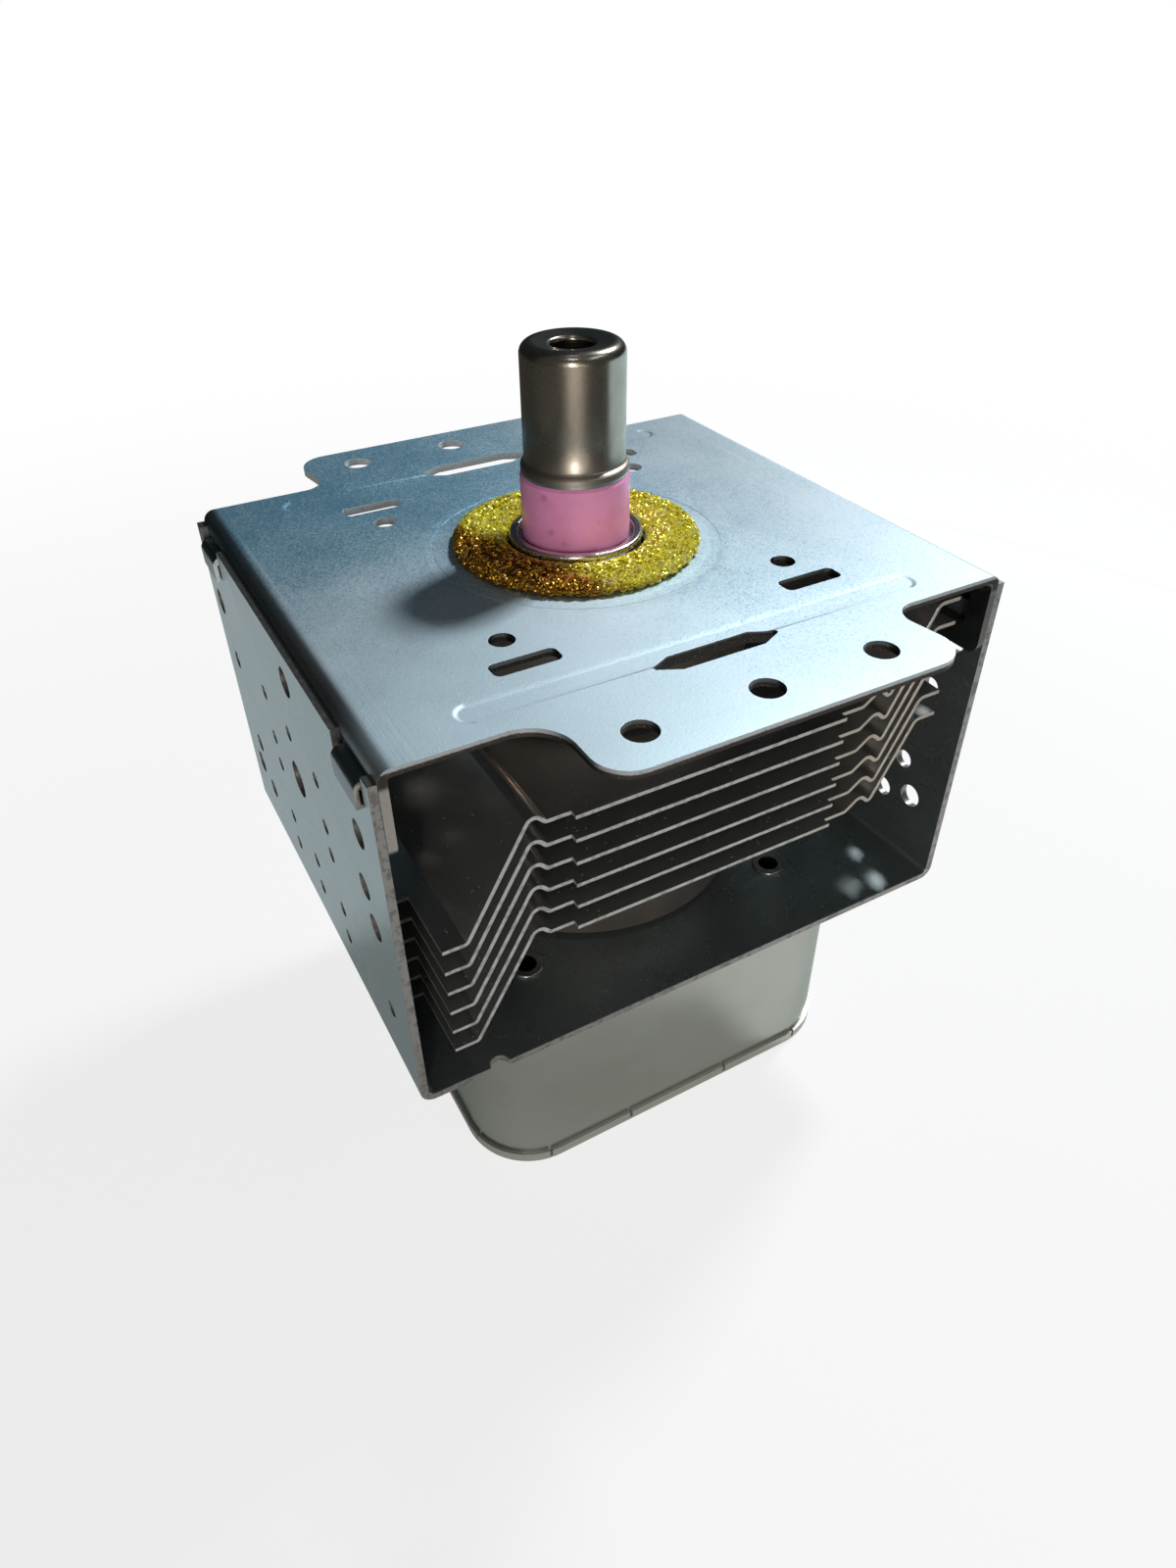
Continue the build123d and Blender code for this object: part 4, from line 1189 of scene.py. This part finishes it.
@dataclass
class Studio:
    """Floor, cards, lamps, world and camera."""

    floor_level: float = -94.7 * MM
    floor_size: float = 60.0
    eye: Triple = (-69.37 * MM, -128.98 * MM, 67.25 * MM)
    bearing: float = 28.79
    drop: float = 37.82
    roll: float = -0.727
    lens: float = 23.906
    sensor: float = 36.0
    nearest: float = 0.01
    floor_tint: Colour = (0.86, 0.86, 0.86)
    sky_tint: Colour = (0.80, 0.90, 1.0)
    sky_strength: float = 0.30
    cards: tuple[Card, ...] = (
        Card("card_front_left", 108.0, 290.0, -3.0, 84.0, (0.070, 0.068, 0.064)),
        Card("card_back_left", 290.0, 352.0, -3.0, 84.0, (0.020, 0.020, 0.020)),
        Card("card_back", -8.0, 108.0, -3.0, 84.0, (0.014, 0.022, 0.030)),
        Card("card_low", 127.0, 388.0, -20.0, 2.0, (0.056, 0.053, 0.045), 0.27),
        Card("card_low_right", 28.0, 127.0, -20.0, 2.0, (0.66, 0.86, 0.90), 0.27),
    )
    lamps: tuple[Lamp, ...] = (
        Lamp("key", 71.0, 47.0, 1.0, 0.13, 0.13, 7.9, (0.96, 0.98, 1.0)),
        Lamp("warm_strip", 209.0, 10.0, 0.8, 0.05, 0.30, 1.25, (1.0, 0.93, 0.88)),
        Lamp("warm_high", 209.0, 58.0, 0.8, 0.12, 0.05, 0.22, (1.0, 0.95, 0.90)),
        Lamp("cool_right", 140.0, 50.0, 0.8, 0.42, 0.07, 0.26, (0.94, 0.98, 1.0)),
        Lamp("low_front", 204.0, -3.5, 0.7, 0.40, 0.05, 1.0, (1.0, 0.90, 0.79)),
    )

    def build(self) -> None:
        """Build the studio."""
        self._floor()
        for piece in self.cards + self.lamps:
            piece.build()
        self._world()
        self._camera()

    def _floor(self) -> None:
        """Lay a pale floor that keeps its shadow and shows white to camera and gloss, less so near the object, with a
        painted patch of light at the front right that gloss sees.
        """
        sheet = bmesh.new()
        bmesh.ops.create_grid(sheet, x_segments=1, y_segments=1, size=self.floor_size)
        bmesh.ops.translate(sheet, vec=(0, 0, self.floor_level), verts=sheet.verts)
        recipe = Recipe("studio_floor")
        lit = recipe.surface(base_color=self.floor_tint, roughness=0.9)
        glow = recipe.node("Emission", None, {"Color": WHITE, "Strength": 1.0})
        spread = recipe.radius()
        seen = recipe.ray("Camera") * (0.8 + spread.rise(0.10, 0.45) * 0.2)
        # painted light: a patch of white at the front right of the floor, seen only in reflections
        painted_light_pool = recipe.along(Axis.X).rise(-0.02, 0.09) * recipe.along(Axis.Y).rise(0.02, -0.04) * 0.6
        distant = 0.2 + spread.rise(0.16, 0.42) * 0.8
        mirrored = recipe.ray("Glossy").either(recipe.ray("Transmission")) * distant.either(painted_light_pool)
        recipe.show(recipe.node("MixShader", None, {0: seen.either(mirrored), 1: lit, 2: glow}))
        floor = finish_mesh(sheet, "floor", (recipe.owner,))

    def _world(self) -> None:
        """Make the world white to camera, gloss and glass, and soft to everything else."""
        world = bpy.data.worlds.new("studio_world")
        bpy.context.scene.world = world
        recipe = Recipe(world.name, world)
        background = recipe.tree.nodes["Background"]
        soft = recipe.fill(background, {"Color": self.sky_tint, "Strength": self.sky_strength})
        white = recipe.node("Background", None, {"Color": WHITE, "Strength": 1.0})
        seen = recipe.ray("Camera").either(recipe.ray("Glossy")).either(recipe.ray("Transmission"))
        recipe.show(recipe.node("MixShader", None, {0: seen, 1: soft, 2: white}))

    def _camera(self) -> None:
        """Set the camera where the photograph was taken from."""
        turn, dip, roll = math.radians(self.bearing), math.radians(self.drop), math.radians(self.roll)
        ahead = Vector((math.sin(turn) * math.cos(dip), math.cos(turn) * math.cos(dip), -math.sin(dip)))
        right = Vector((math.cos(turn), -math.sin(turn), 0.0))
        up = right.cross(ahead)
        level_right = right * math.cos(roll) + up * math.sin(roll)
        level_up = up * math.cos(roll) - right * math.sin(roll)
        data = bpy.data.cameras.new("camera")
        data.sensor_width = self.sensor
        data.lens = self.lens
        data.clip_start = self.nearest
        camera = bpy.data.objects.new("camera", data)
        pose = Matrix((level_right, level_up, -ahead)).transposed().to_4x4()
        pose.translation = Vector(self.eye)
        camera.matrix_world = pose
        bpy.context.scene.collection.objects.link(camera)
        bpy.context.scene.camera = camera


def main() -> None:
    """Build the looks, in order from the frame inwards, and then the studio."""
    logging.basicConfig(level=logging.INFO, format="%(message)s")
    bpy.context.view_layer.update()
    finishes = Finishes()
    for assembly in (SteelFrame(), CoolingPack(), Antenna(), TubeInside(), FilterBox()):
        log.info("building %s", type(assembly).__name__)
        assembly.build(finishes)
    Studio().build()
    bpy.context.scene.view_settings.view_transform = "Standard"


if __name__ == "__main__":
    main()
